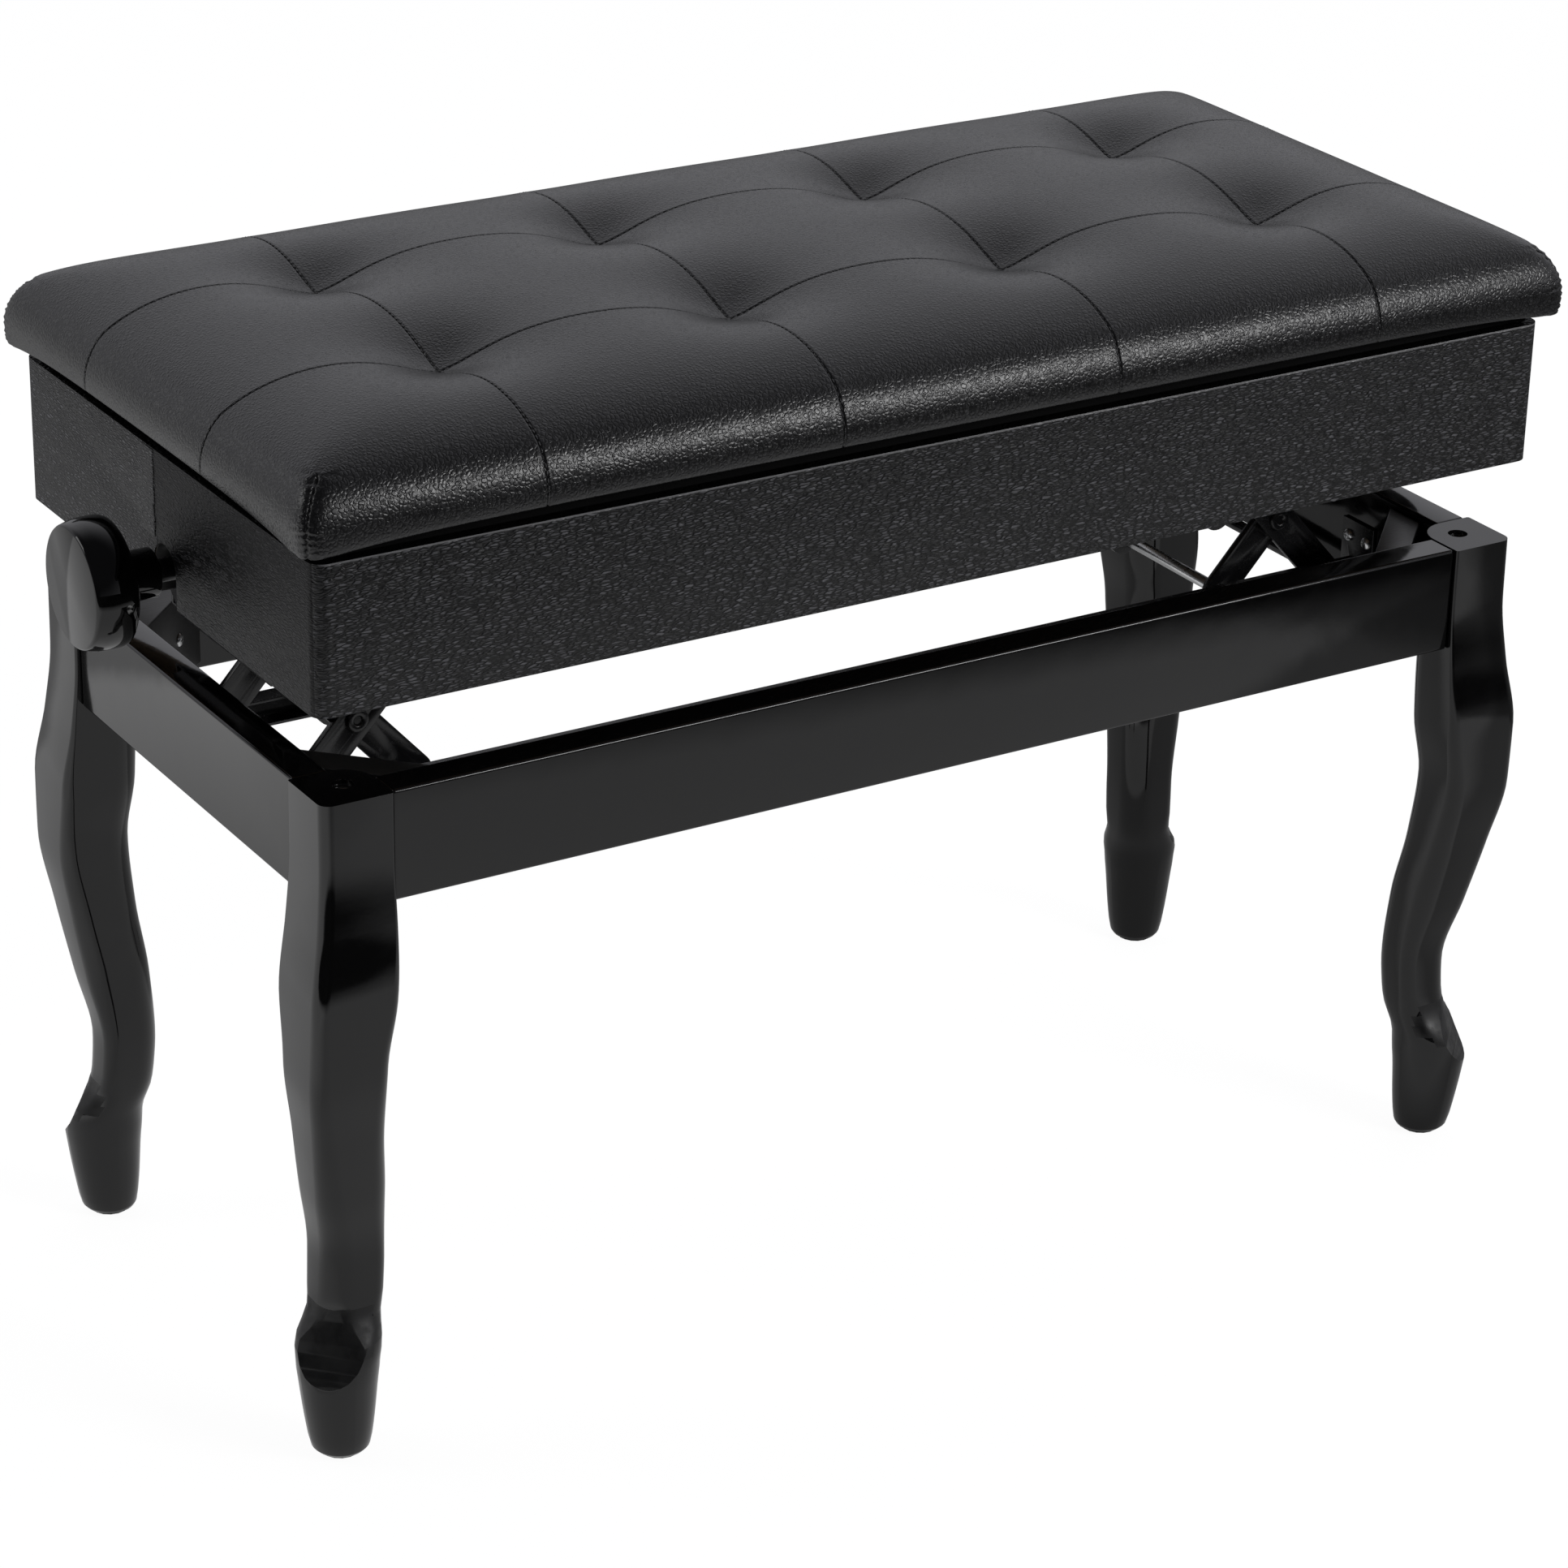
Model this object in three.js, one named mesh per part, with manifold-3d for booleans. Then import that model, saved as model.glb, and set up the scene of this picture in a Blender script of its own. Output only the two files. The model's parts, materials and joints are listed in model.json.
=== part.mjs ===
// Height-adjustable duet piano bench: a lacquered leg frame carries two short scissor lifts,
// and they carry an upholstered storage box with a hinged, tufted lid.
// Millimetres, +Z up, +X along the bench, -Y towards the front; the origin is on the floor.

import * as THREE from 'three';
import { mergeVertices } from 'three/addons/utils/BufferGeometryUtils.js';
import Module from 'manifold-3d';

const wasm = await Module();
wasm.setup();

// ---- Sizes ----------------------------------------------------------------

const fitGap = 0.3;             // between pieces that touch, and round every shaft

// seat box
const boxLength = 740;
const boxWidth = 340;
const boxHeight = 79.2;
const boxCornerRadius = 8;
const panelThickness = 12;
const wrapThickness = 0.7;
const floorThickness = 6;
const floorGrooveDepth = 5;
const skirtDepth = 33.6;        // from the box's lower edge up to the floor board
const notchHalfWidth = 13;
const notchSill = 18;           // centre of the notch's round top, above the box's lower edge

// lid
const lidThickness = 12;
const lidInset = 6;             // lid board's edge inside the box's outline
const cushionOverhang = 10;
const cushionHeight = 59;
const cushionLipDrop = 7;       // how far the cover reaches down past the lid board's top
const cushionCornerRadius = 22;

// lid hinge
const hingeLength = 660;
const hingeLeafThickness = 1.2;
const hingeLeafWidth = 13;
const hingeKnuckleRadius = 2.6;
const hingePinRadius = 1.2;
const hingeKnuckleCount = 7;

// leg frame
const legHeight = 375.6;
const boxOverhang = 4;          // box past the legs' outer corners, on every side
const legSide = 38.2;           // square top of a leg
const legBoltInset = 21;        // from a leg's outer corner, along X and along Y
const legBoltHeadRadius = 5.2;
const legBoltHeadHeight = 7;
const legBoltRecess = 3.5;
const legBoltShankRadius = 3;
const legBoltShankLength = 26;
const legBoltSocketRadius = 2.6;
const legBoltSocketDepth = 4;
const apronHeight = 59.5;
const apronThickness = 20;
const apronInset = 2;           // apron's face behind the legs' faces
const cornerBlockWidth = 18.4;
const cornerBlockSetback = 6.5; // from the leg's rounded inner corner
const cornerBlockMargin = 4;    // block's top and bottom inside the apron's height
const padRadius = 11;
const padThickness = 2;
const toeScoopRadius = 27;
const toeScoopTop = 86;
const toeScoopLip = 48;
const footLean = 6.3;           // feet along the bench, off the corners' diagonals

// lift
const liftGap = 47.8;           // box over leg tops at rest
const armLength = 104;          // between an arm's end pivots
const armHalfWidth = 10;
const armThickness = 4;
const armInnerSide = 44.5;      // inner face of the inner arms, from the middle
const endPivotInset = 18;       // fixed pivots inside the end aprons' inner faces
const basePinRadius = 3.5;
const seatPinRadius = 4;
const midPinRadius = 3.5;
const midPinPlay = 2.6;         // room round the middle shaft in the seat arms
const pinHeadRadius = 6;
const pinHeadThickness = 2;
const slideEndGap = 2;          // sliding shafts' ends from the rails' webs
const railWall = 1.8;
const railDepth = 12;
const railSide = 56;            // rails' open side, from the middle
const baseChannelHeight = 15.8;
const baseRailTabHeight = 36;
const baseRailTabWidth = 28;
const seatChannelHeight = 20;
const seatPivotDrop = 22.4;     // seat pivots under the box's lower edge
const railFlangeWidth = 16;
const endPlateThickness = 2;
const endPlateSetback = 5;      // from the end apron's inner face
const endPlateFoot = 18;
const endPlateChamfer = 14;

// adjuster
const rodRadius = 6;
const rodHeight = 17.6;         // above the box's lower edge
const rodCollarRadius = 9;
const rodCollarWidth = 6;
const knobRadius = 34;
const knobFaceRadius = 32;
const knobThickness = 24;
const knobEdge = 3;             // rounding round the face
const knobBackEdge = 1;         // chamfer round the back
const knobHubRadius = 13;
const knobHubLength = 20;
const knobStandOff = 27;        // knob's back from the box's end
const knobBoreDepth = 24;
const nutLength = 26;
const nutHalfWidth = 18;
const nutBlockHalfHeight = 12;
const nutCheekThickness = 4;
const nutPlayX = 3.2;
const nutPlayZ = 2.8;

// ---- Places worked out from the sizes -------------------------------------

const halfBoxLength = boxLength / 2;
const halfBoxWidth = boxWidth / 2;
const boxBottom = legHeight + liftGap;
const boxTop = boxBottom + boxHeight;
const panelOutX = halfBoxLength - wrapThickness - fitGap;
const panelOutY = halfBoxWidth - wrapThickness - fitGap;
const panelInX = panelOutX - panelThickness;
const panelInY = panelOutY - panelThickness;
const floorBottom = boxBottom + skirtDepth;
const lidBottom = boxTop + fitGap;
const lidTop = lidBottom + lidThickness;
const lidHalfLength = halfBoxLength - lidInset;
const lidHalfWidth = halfBoxWidth - lidInset;
const hingeY = halfBoxWidth + hingeKnuckleRadius + fitGap;
const hingeZ = boxTop + fitGap / 2;

const legX = halfBoxLength - boxOverhang;
const legY = halfBoxWidth - boxOverhang;
const apronBottom = legHeight - apronHeight;
const apronOutX = legX - apronInset;
const apronOutY = legY - apronInset;
const apronInX = apronOutX - apronThickness;
const apronInY = apronOutY - apronThickness;

const basePivotZ = apronBottom + baseChannelHeight / 2;
const seatPivotZ = boxBottom - seatPivotDrop;
const fixedPivotX = apronInX - endPivotInset;
const armRise = seatPivotZ - basePivotZ;
const armAngle = Math.asin(armRise / armLength);
const armReach = armLength * Math.cos(armAngle);
const slidePivotX = fixedPivotX - armReach;
const midPivotX = fixedPivotX - armReach / 2;
const midPivotZ = (basePivotZ + seatPivotZ) / 2;
const armOuterSide = armInnerSide + armThickness + fitGap;
const railOut = railSide + railDepth;
const endPlateX = apronInX - endPlateSetback;
const rodZ = boxBottom + rodHeight;
const knobBack = halfBoxLength + knobStandOff;
const knobFace = knobBack + knobThickness;

// ---- Shapes ---------------------------------------------------------------

const ROUND = 16;               // sides of a small round piece
const corners = [
  { name: 'front_left', x: -1, y: -1 },
  { name: 'front_right', x: 1, y: -1 },
  { name: 'back_left', x: -1, y: 1 },
  { name: 'back_right', x: 1, y: 1 },
];
const ends = [{ name: 'left', x: -1 }, { name: 'right', x: 1 }];
const sides = [{ name: 'front', y: -1 }, { name: 'back', y: 1 }];

function between(low, high) {
  // a block between two corners
  const size = high.map((value, i) => value - low[i]);
  const geometry = new THREE.BoxGeometry(...size);
  return geometry.translate(...low.map((value, i) => value + size[i] / 2));
}

function outline(points) {
  return new THREE.Shape(points.map(([x, y]) => new THREE.Vector2(x, y)));
}

function extrude(shape, depth, curveSegments = 6) {
  return new THREE.ExtrudeGeometry(shape, { depth, bevelEnabled: false, curveSegments });
}

function roundedRectangle(halfX, halfY, radius) {
  const shape = new THREE.Shape();
  shape.absarc(halfX - radius, halfY - radius, radius, 0, Math.PI / 2);
  shape.absarc(radius - halfX, halfY - radius, radius, Math.PI / 2, Math.PI);
  shape.absarc(radius - halfX, radius - halfY, radius, Math.PI, 1.5 * Math.PI);
  shape.absarc(halfX - radius, radius - halfY, radius, 1.5 * Math.PI, 2 * Math.PI);
  shape.closePath();
  return shape;
}

function alongX(geometry) {
  // a lathed piece's axis, from Y to X
  return geometry.rotateZ(-Math.PI / 2);
}

function alongZ(geometry) {
  return geometry.rotateX(Math.PI / 2);
}

function lathe(profile, segments = ROUND) {
  return new THREE.LatheGeometry(profile.map(([r, y]) => new THREE.Vector2(r, y)), segments);
}

function bar(radius, low, high, segments = ROUND) {
  // a plain round bar along Y
  return new THREE.CylinderGeometry(radius, radius, high - low, segments)
    .translate(0, (low + high) / 2, 0);
}

function toSolid(geometry) {
  const bare = geometry.clone();
  bare.deleteAttribute('normal');
  bare.deleteAttribute('uv');
  const merged = mergeVertices(bare, 1e-4);
  return new wasm.Manifold(new wasm.Mesh({
    numProp: 3,
    vertProperties: new Float32Array(merged.attributes.position.array),
    triVerts: new Uint32Array(merged.index.array),
  }));
}

function toGeometry(solid) {
  const mesh = solid.getMesh();
  const geometry = new THREE.BufferGeometry();
  geometry.setAttribute('position', new THREE.BufferAttribute(mesh.vertProperties, 3));
  geometry.setIndex(new THREE.BufferAttribute(mesh.triVerts, 1));
  geometry.computeVertexNormals();
  return geometry;
}

function cut(body, ...tools) {
  return toGeometry(tools.reduce((solid, tool) => solid.subtract(toSolid(tool)), toSolid(body)));
}

function join(...pieces) {
  return toGeometry(pieces.map(toSolid).reduce((solid, piece) => solid.add(piece)));
}

function loft(rings) {
  // closed body through rings of equal point count, listed from the bottom up
  const count = rings[0].length;
  const points = rings.flat();
  const index = [];
  for (let level = 0; level + 1 < rings.length; level++) {
    for (let i = 0; i < count; i++) {
      const a = level * count + i;
      const b = level * count + (i + 1) % count;
      index.push(a, b, a + count, b, b + count, a + count);
    }
  }
  const middle = (ring) => ring.reduce(
    (sum, p) => sum.map((value, k) => value + p[k] / ring.length), [0, 0, 0]);
  const foot = points.push(middle(rings[0])) - 1;
  const head = points.push(middle(rings[rings.length - 1])) - 1;
  const top = (rings.length - 1) * count;
  for (let i = 0; i < count; i++) {
    const next = (i + 1) % count;
    index.push(foot, next, i, head, top + i, top + next);
  }
  const geometry = new THREE.BufferGeometry();
  geometry.setAttribute('position', new THREE.Float32BufferAttribute(points.flat(), 3));
  geometry.setIndex(index);
  geometry.computeVertexNormals();
  return geometry;
}

// ---- Materials ------------------------------------------------------------

const finishes = {
  lacquer: { color: 0x0b0b0c, roughness: 0.12, metalness: 0 },
  seatCover: { color: 0x17171a, roughness: 0.42, metalness: 0 },
  boxCover: { color: 0x1b1b1d, roughness: 0.6, metalness: 0 },
  board: { color: 0x6b5136, roughness: 0.8, metalness: 0 },
  blackSteel: { color: 0x141414, roughness: 0.4, metalness: 0.6 },
  zincSteel: { color: 0xb9bcc0, roughness: 0.3, metalness: 1 },
  knob: { color: 0x0c0c0d, roughness: 0.1, metalness: 0 },
  pad: { color: 0x202020, roughness: 0.9, metalness: 0 },
};

const bench = new THREE.Group();

function place(name, geometry, finish, position = [0, 0, 0], turn = 0) {
  const mesh = new THREE.Mesh(geometry, new THREE.MeshStandardMaterial(finishes[finish]));
  mesh.name = name;
  mesh.position.set(...position);
  mesh.rotation.z = turn;
  bench.add(mesh);
}

// ---- Legs -----------------------------------------------------------------

// Cabriole leg, seen along the bench's diagonal. outer is the outward swing of the outer arris
// from the top corner, inner the same for the two inner faces, and the last three are the
// rounding of the outer, side and inner arrises. Heights are shares of the leg's height.
const legStations = [
  { at: 0.000, outer: -10.4, inner: 7.8, outerEdge: 13.4, sideEdge: 13.4, innerEdge: 13.4 },
  { at: 0.007, outer: -8.0, inner: 6.2, outerEdge: 15.4, sideEdge: 15.4, innerEdge: 15.4 },
  { at: 0.047, outer: -4.8, inner: 4.2, outerEdge: 17.7, sideEdge: 17.7, innerEdge: 17.7 },
  { at: 0.112, outer: -1.2, inner: 2.2, outerEdge: 20.6, sideEdge: 20.6, innerEdge: 20.6 },
  { at: 0.138, outer: -0.2, inner: 1.2, outerEdge: 21.5, sideEdge: 21.5, innerEdge: 21.5 },
  { at: 0.165, outer: -1.5, inner: 0.8, outerEdge: 21.2, sideEdge: 18.0, innerEdge: 21.2 },
  { at: 0.213, outer: -10.0, inner: -2.1, outerEdge: 16.0, sideEdge: 11.5, innerEdge: 16.0 },
  { at: 0.238, outer: -16.8, inner: -3.0, outerEdge: 14.5, sideEdge: 8.0, innerEdge: 15.0 },
  { at: 0.294, outer: -18.7, inner: -4.0, outerEdge: 14.0, sideEdge: 7.4, innerEdge: 14.6 },
  { at: 0.396, outer: -8.2, inner: -2.2, outerEdge: 10.2, sideEdge: 10.4, innerEdge: 14.6 },
  { at: 0.503, outer: 2.1, inner: 2.4, outerEdge: 5.9, sideEdge: 9.4, innerEdge: 15.4 },
  { at: 0.610, outer: 10.4, inner: 4.6, outerEdge: 3.5, sideEdge: 7.6, innerEdge: 16.4 },
  { at: 0.704, outer: 11.3, inner: 0.9, outerEdge: 2.4, sideEdge: 5.6, innerEdge: 16.8 },
  { at: 0.811, outer: 4.6, inner: 0.0, outerEdge: 1.6, sideEdge: 2.2, innerEdge: 17.4 },
  { at: 0.905, outer: 0.4, inner: 0.0, outerEdge: 1.4, sideEdge: 1.5, innerEdge: 17.8 },
  { at: 1.000, outer: 0.0, inner: 0.0, outerEdge: 1.4, sideEdge: 1.4, innerEdge: 18.0 },
];
const footBottom = padThickness + fitGap;
const legLevels = 19;
const legArcSteps = 3;

function alongLeg(key, at) {
  // smooth curve through the stations that never overshoots them
  const list = legStations;
  const slope = (i) => (list[i + 1][key] - list[i][key]) / (list[i + 1].at - list[i].at);
  const tangent = (i) => {
    if (i === 0) return slope(0);
    if (i === list.length - 1) return slope(i - 1);
    const before = slope(i - 1);
    const after = slope(i);
    return before * after <= 0 ? 0 : 2 * before * after / (before + after);
  };
  let i = 0;
  while (i < list.length - 2 && at > list[i + 1].at) i++;
  const span = list[i + 1].at - list[i].at;
  const t = (at - list[i].at) / span;
  return (1 + 2 * t) * (1 - t) ** 2 * list[i][key] + t * (1 - t) ** 2 * span * tangent(i)
    + t * t * (3 - 2 * t) * list[i + 1][key] + t * t * (t - 1) * span * tangent(i + 1);
}

function legRing(at, hand) {
  // rounded square, corner outwards along +X, measured from the leg's top outer corner;
  // hand says to which side the foot leans
  const outer = alongLeg('outer', at);
  const outerEdge = alongLeg('outerEdge', at);
  const arris = outer + (Math.SQRT2 - 1) * outerEdge;
  const side = legSide + arris / Math.SQRT2 - alongLeg('inner', at);
  const middle = arris - side / Math.SQRT2;
  const edges = [outerEdge, alongLeg('sideEdge', at), alongLeg('innerEdge', at),
    alongLeg('sideEdge', at)];
  const z = footBottom + at * (legHeight - footBottom);
  const lean = hand * footLean * Math.max(0, 1 - (z / apronBottom) ** 3) ** 2;
  const ring = [];
  edges.forEach((edge, quarter) => {
    const radius = Math.min(edge, side / 2 - 0.01);
    const out = (side / 2 - radius) * Math.SQRT2;
    const facing = quarter * Math.PI / 2;
    for (let step = 0; step <= legArcSteps; step++) {
      const angle = facing + (step / legArcSteps - 0.5) * Math.PI / 2;
      ring.push([middle + out * Math.cos(facing) + radius * Math.cos(angle),
        lean + out * Math.sin(facing) + radius * Math.sin(angle), z]);
    }
  });
  return ring;
}

function legBoltHole() {
  const headDepth = legBoltRecess + legBoltHeadHeight + fitGap;
  const head = alongZ(bar(legBoltHeadRadius + fitGap, -headDepth, 1));
  const shank = alongZ(bar(legBoltShankRadius + fitGap, -headDepth - legBoltShankLength, 0));
  const depth = legBoltInset * Math.SQRT2;
  return join(head.translate(-depth, 0, legHeight), shank.translate(-depth, 0, legHeight));
}

function leg(hand) {
  const levels = [0];
  const { at: heel } = legStations[1];
  for (let i = 0; i <= legLevels; i++) levels.push(heel + (1 - heel) * i / legLevels);
  const body = loft(levels.map((at) => legRing(at, hand)));
  const share = (z) => (z - footBottom) / (legHeight - footBottom);
  const lip = alongLeg('outer', share(toeScoopLip));
  const neck = alongLeg('outer', share(toeScoopTop));
  const rise = toeScoopTop - toeScoopLip;
  const chord = Math.hypot(lip - neck, rise);
  const sag = Math.sqrt(toeScoopRadius ** 2 - (chord / 2) ** 2);
  const scoop = bar(toeScoopRadius, -2 * legSide, 2 * legSide, 48).translate(
    (lip + neck) / 2 + sag * rise / chord, 0,
    (toeScoopTop + toeScoopLip) / 2 + sag * (lip - neck) / chord);
  return cut(body, scoop, legBoltHole());
}

function legBolt() {
  // socket head cap screw, sunk in the leg's top
  const top = legHeight - legBoltRecess;
  const neck = top - legBoltHeadHeight;
  const foot = neck - legBoltShankLength;
  const body = alongZ(lathe([[0, foot], [legBoltShankRadius, foot], [legBoltShankRadius, neck],
    [legBoltHeadRadius, neck], [legBoltHeadRadius, top], [0, top]]));
  const socket = alongZ(bar(legBoltSocketRadius, -legBoltSocketDepth, 1, 6))
    .translate(0, 0, top);
  return cut(body, socket);
}

for (const { name, x, y } of corners) {
  place(`leg_${name}`, leg(-x * y), 'lacquer', [x * legX, y * legY, 0], Math.atan2(y, x));
  place(`leg_bolt_${name}`, legBolt(), 'zincSteel',
    [x * (legX - legBoltInset), y * (legY - legBoltInset), 0]);
}

// ---- Foot pads ------------------------------------------------------------

const footSetback = legStations[0].outerEdge - legStations[0].outer;

for (const { name, x, y } of corners) {
  const footX = x * (legX - (footSetback - footLean) / Math.SQRT2);
  const footY = y * (legY - (footSetback + footLean) / Math.SQRT2);
  place(`foot_pad_${name}`, alongZ(bar(padRadius, 0, padThickness)), 'pad', [footX, footY, 0]);
}

// ---- Aprons and corner blocks ---------------------------------------------

const apronHalfLength = legX - legSide - fitGap;
const apronHalfWidth = legY - legSide - fitGap;

for (const { name, y } of sides) {
  const apron = between([-apronHalfLength, -apronThickness / 2, apronBottom],
    [apronHalfLength, apronThickness / 2, legHeight]);
  place(`apron_${name}`, apron, 'lacquer', [0, y * (apronInY + apronThickness / 2), 0]);
}
for (const { name, x } of ends) {
  const apron = between([-apronThickness / 2, -apronHalfWidth, apronBottom],
    [apronThickness / 2, apronHalfWidth, legHeight]);
  place(`apron_${name}`, apron, 'lacquer', [x * (apronInX + apronThickness / 2), 0, 0]);
}

function cornerBlock() {
  // slanted block glued across the corner of two aprons; (0, 0) is the aprons' inner corner
  const legCorner = apronInX - (legX - legSide);
  const rounding = alongLeg('innerEdge', 1) * (2 - Math.SQRT2);
  const near = 2 * legCorner - rounding + cornerBlockSetback * Math.SQRT2;
  const far = near + cornerBlockWidth * Math.SQRT2;
  const plan = outline([[-fitGap, -near], [-near, -fitGap], [-far, -fitGap], [-fitGap, -far]]);
  return extrude(plan, apronHeight - 2 * cornerBlockMargin);
}

for (const { name, x, y } of corners) {
  place(`corner_block_${name}`, cornerBlock(), 'board',
    [x * apronInX, y * apronInY, apronBottom + cornerBlockMargin],
    Math.atan2(y, x) - Math.PI / 4);
}

// ---- Lower rails, fixed between the end aprons -----------------------------

function channelProfile(height) {
  // C section in (y, z), open towards y = 0, its back at railOut
  return outline([
    [railSide, -height / 2], [railOut, -height / 2], [railOut, height / 2],
    [railSide, height / 2], [railSide, height / 2 - railWall],
    [railOut - railWall, height / 2 - railWall], [railOut - railWall, railWall - height / 2],
    [railSide, railWall - height / 2],
  ]);
}

function sweepX(shape, halfLength) {
  // a (y, z) section swept along X
  const geometry = extrude(shape, 2 * halfLength);
  const frame = new THREE.Matrix4().makeBasis(
    new THREE.Vector3(0, 1, 0), new THREE.Vector3(0, 0, 1), new THREE.Vector3(1, 0, 0));
  return geometry.applyMatrix4(frame).translate(-halfLength, 0, 0);
}

function pivotHoles(radius, z) {
  return ends.map(({ x }) => bar(radius + fitGap, railSide, railOut + 1)
    .translate(x * fixedPivotX, 0, z));
}

function baseRail() {
  const halfLength = apronInX - fitGap;
  const channel = sweepX(channelProfile(baseChannelHeight), halfLength)
    .translate(0, 0, basePivotZ);
  const middle = (railSide + railOut) / 2;
  const tabs = ends.map(({ x }) => between(
    [-railWall / 2, middle - baseRailTabWidth / 2, apronBottom + railWall],
    [railWall / 2, middle + baseRailTabWidth / 2, apronBottom + railWall + baseRailTabHeight],
  ).translate(x * (halfLength - railWall / 2), 0, 0));
  return cut(join(channel, ...tabs), ...pivotHoles(basePinRadius, basePivotZ));
}

for (const { name, y } of sides) {
  place(`base_rail_${name}`, baseRail(), 'blackSteel', [0, 0, 0], y > 0 ? 0 : Math.PI);
}

// ---- Upper rails, hung under the box's floor -------------------------------

const seatRailHalfLength = endPlateX - endPlateThickness - fitGap;

function seatRail() {
  const low = seatPivotZ - seatChannelHeight / 2;
  const lip = seatPivotZ + seatChannelHeight / 2;
  const top = floorBottom - fitGap;
  const section = outline([
    [railSide, low], [railOut, low], [railOut, top - railWall],
    [railOut + railFlangeWidth, top - railWall], [railOut + railFlangeWidth, top],
    [railOut - railWall, top], [railOut - railWall, lip], [railSide, lip],
    [railSide, lip - railWall], [railOut - railWall, lip - railWall],
    [railOut - railWall, low + railWall], [railSide, low + railWall],
  ]);
  return cut(sweepX(section, seatRailHalfLength), ...pivotHoles(seatPinRadius, seatPivotZ));
}

for (const { name, y } of sides) {
  place(`seat_rail_${name}`, seatRail(), 'blackSteel', [0, 0, 0], y > 0 ? 0 : Math.PI);
}

function endPlate() {
  // bent plate that ties the upper rails at one end and bears the adjuster rod
  const halfWidth = railOut;
  const low = seatPivotZ - seatChannelHeight / 2;
  const top = floorBottom - fitGap;
  const plan = outline([[-halfWidth + endPlateChamfer, low], [halfWidth - endPlateChamfer, low],
    [halfWidth, low + endPlateChamfer], [halfWidth, top], [-halfWidth, top],
    [-halfWidth, low + endPlateChamfer]]);
  const plate = sweepX(plan, endPlateThickness / 2)
    .translate(endPlateX - endPlateThickness / 2, 0, 0);
  const footHalfWidth = armInnerSide - armHalfWidth;
  const foot = between([endPlateX - endPlateFoot, -footHalfWidth, top - endPlateThickness],
    [endPlateX, footHalfWidth, top]);
  const rodHole = alongX(bar(rodRadius + fitGap, endPlateX - endPlateFoot, endPlateX + 1))
    .translate(0, 0, rodZ);
  return cut(join(plate, foot), rodHole);
}

for (const { name, x } of ends) {
  place(`seat_end_plate_${name}`, endPlate(), 'blackSteel', [0, 0, 0], x > 0 ? 0 : Math.PI);
}

// ---- Scissor arms and their shafts ----------------------------------------

function arm(lowerPin, upperPin, midHole, towardsMiddle, side) {
  // flat bar with round ends; its lower pivot is at (0, 0) and it rises along the arm's angle
  const shape = new THREE.Shape();
  shape.absarc(armLength, 0, armHalfWidth, -Math.PI / 2, Math.PI / 2);
  shape.absarc(0, 0, armHalfWidth, Math.PI / 2, 1.5 * Math.PI);
  shape.closePath();
  const hole = (x, radius) => shape.holes.push(
    new THREE.Path().absarc(x, 0, radius, 0, 2 * Math.PI, true));
  hole(0, lowerPin + fitGap);
  hole(armLength / 2, midHole);
  hole(armLength, upperPin + fitGap);
  const rise = towardsMiddle > 0 ? armAngle : Math.PI - armAngle;
  return extrude(shape, armThickness, 8).rotateZ(rise).rotateX(Math.PI / 2)
    .translate(0, side + armThickness, 0);
}

function shaft(radius, halfLength, headRadius = radius, headAt = halfLength) {
  // round shaft along Y with a head at each end, past headAt
  if (headRadius === radius) return bar(radius, -halfLength, halfLength);
  return lathe([[0, -halfLength], [headRadius, -halfLength], [headRadius, -headAt],
    [radius, -headAt], [radius, headAt], [headRadius, headAt], [headRadius, halfLength],
    [0, halfLength]]);
}

const baseHead = railOut + fitGap;
const midHead = armOuterSide + armThickness + fitGap;
const slideEnd = railOut - railWall - slideEndGap;

for (const { name, x } of ends) {
  // the base arm turns on the leg frame, and its top slides in the upper rails;
  // the seat arm turns on the upper rails, and its foot slides in the lower rails
  for (const { name: side, y } of sides) {
    const outerSide = y > 0 ? armOuterSide : -armOuterSide - armThickness;
    const innerSide = y > 0 ? armInnerSide : -armInnerSide - armThickness;
    place(`base_arm_${name}_${side}`,
      arm(basePinRadius, seatPinRadius, midPinRadius + fitGap, -x, outerSide),
      'blackSteel', [x * fixedPivotX, 0, basePivotZ]);
    place(`seat_arm_${name}_${side}`,
      arm(basePinRadius, seatPinRadius, midPinRadius + midPinPlay, x, innerSide),
      'blackSteel', [x * slidePivotX, 0, basePivotZ]);
  }
  place(`base_pivot_shaft_${name}`,
    shaft(basePinRadius, baseHead + pinHeadThickness, pinHeadRadius, baseHead),
    'zincSteel', [x * fixedPivotX, 0, basePivotZ]);
  place(`seat_pivot_shaft_${name}`,
    shaft(seatPinRadius, baseHead + pinHeadThickness, pinHeadRadius, baseHead),
    'zincSteel', [x * fixedPivotX, 0, seatPivotZ]);
  place(`middle_shaft_${name}`,
    shaft(midPinRadius, midHead + pinHeadThickness, pinHeadRadius, midHead),
    'zincSteel', [x * midPivotX, 0, midPivotZ]);
  place(`base_slide_shaft_${name}`, shaft(basePinRadius, slideEnd),
    'zincSteel', [x * slidePivotX, 0, basePivotZ]);
  place(`seat_slide_shaft_${name}`, shaft(seatPinRadius, slideEnd),
    'zincSteel', [x * slidePivotX, 0, seatPivotZ]);
}

// ---- Adjuster: rod, nuts and knobs ----------------------------------------

const rodEnd = knobBack - knobHubLength + knobBoreDepth - fitGap;

function rod() {
  const collarEnd = endPlateX - endPlateThickness - fitGap;
  const collarStart = collarEnd - rodCollarWidth;
  const half = [[rodRadius, collarStart], [rodCollarRadius, collarStart],
    [rodCollarRadius, collarEnd], [rodRadius, collarEnd], [rodRadius, rodEnd], [0, rodEnd]];
  const other = half.map(([r, x]) => [r, -x]).reverse();
  return alongX(lathe([...other, ...half], 24));
}

place('adjuster_rod', rod(), 'blackSteel', [0, 0, rodZ]);

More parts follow.
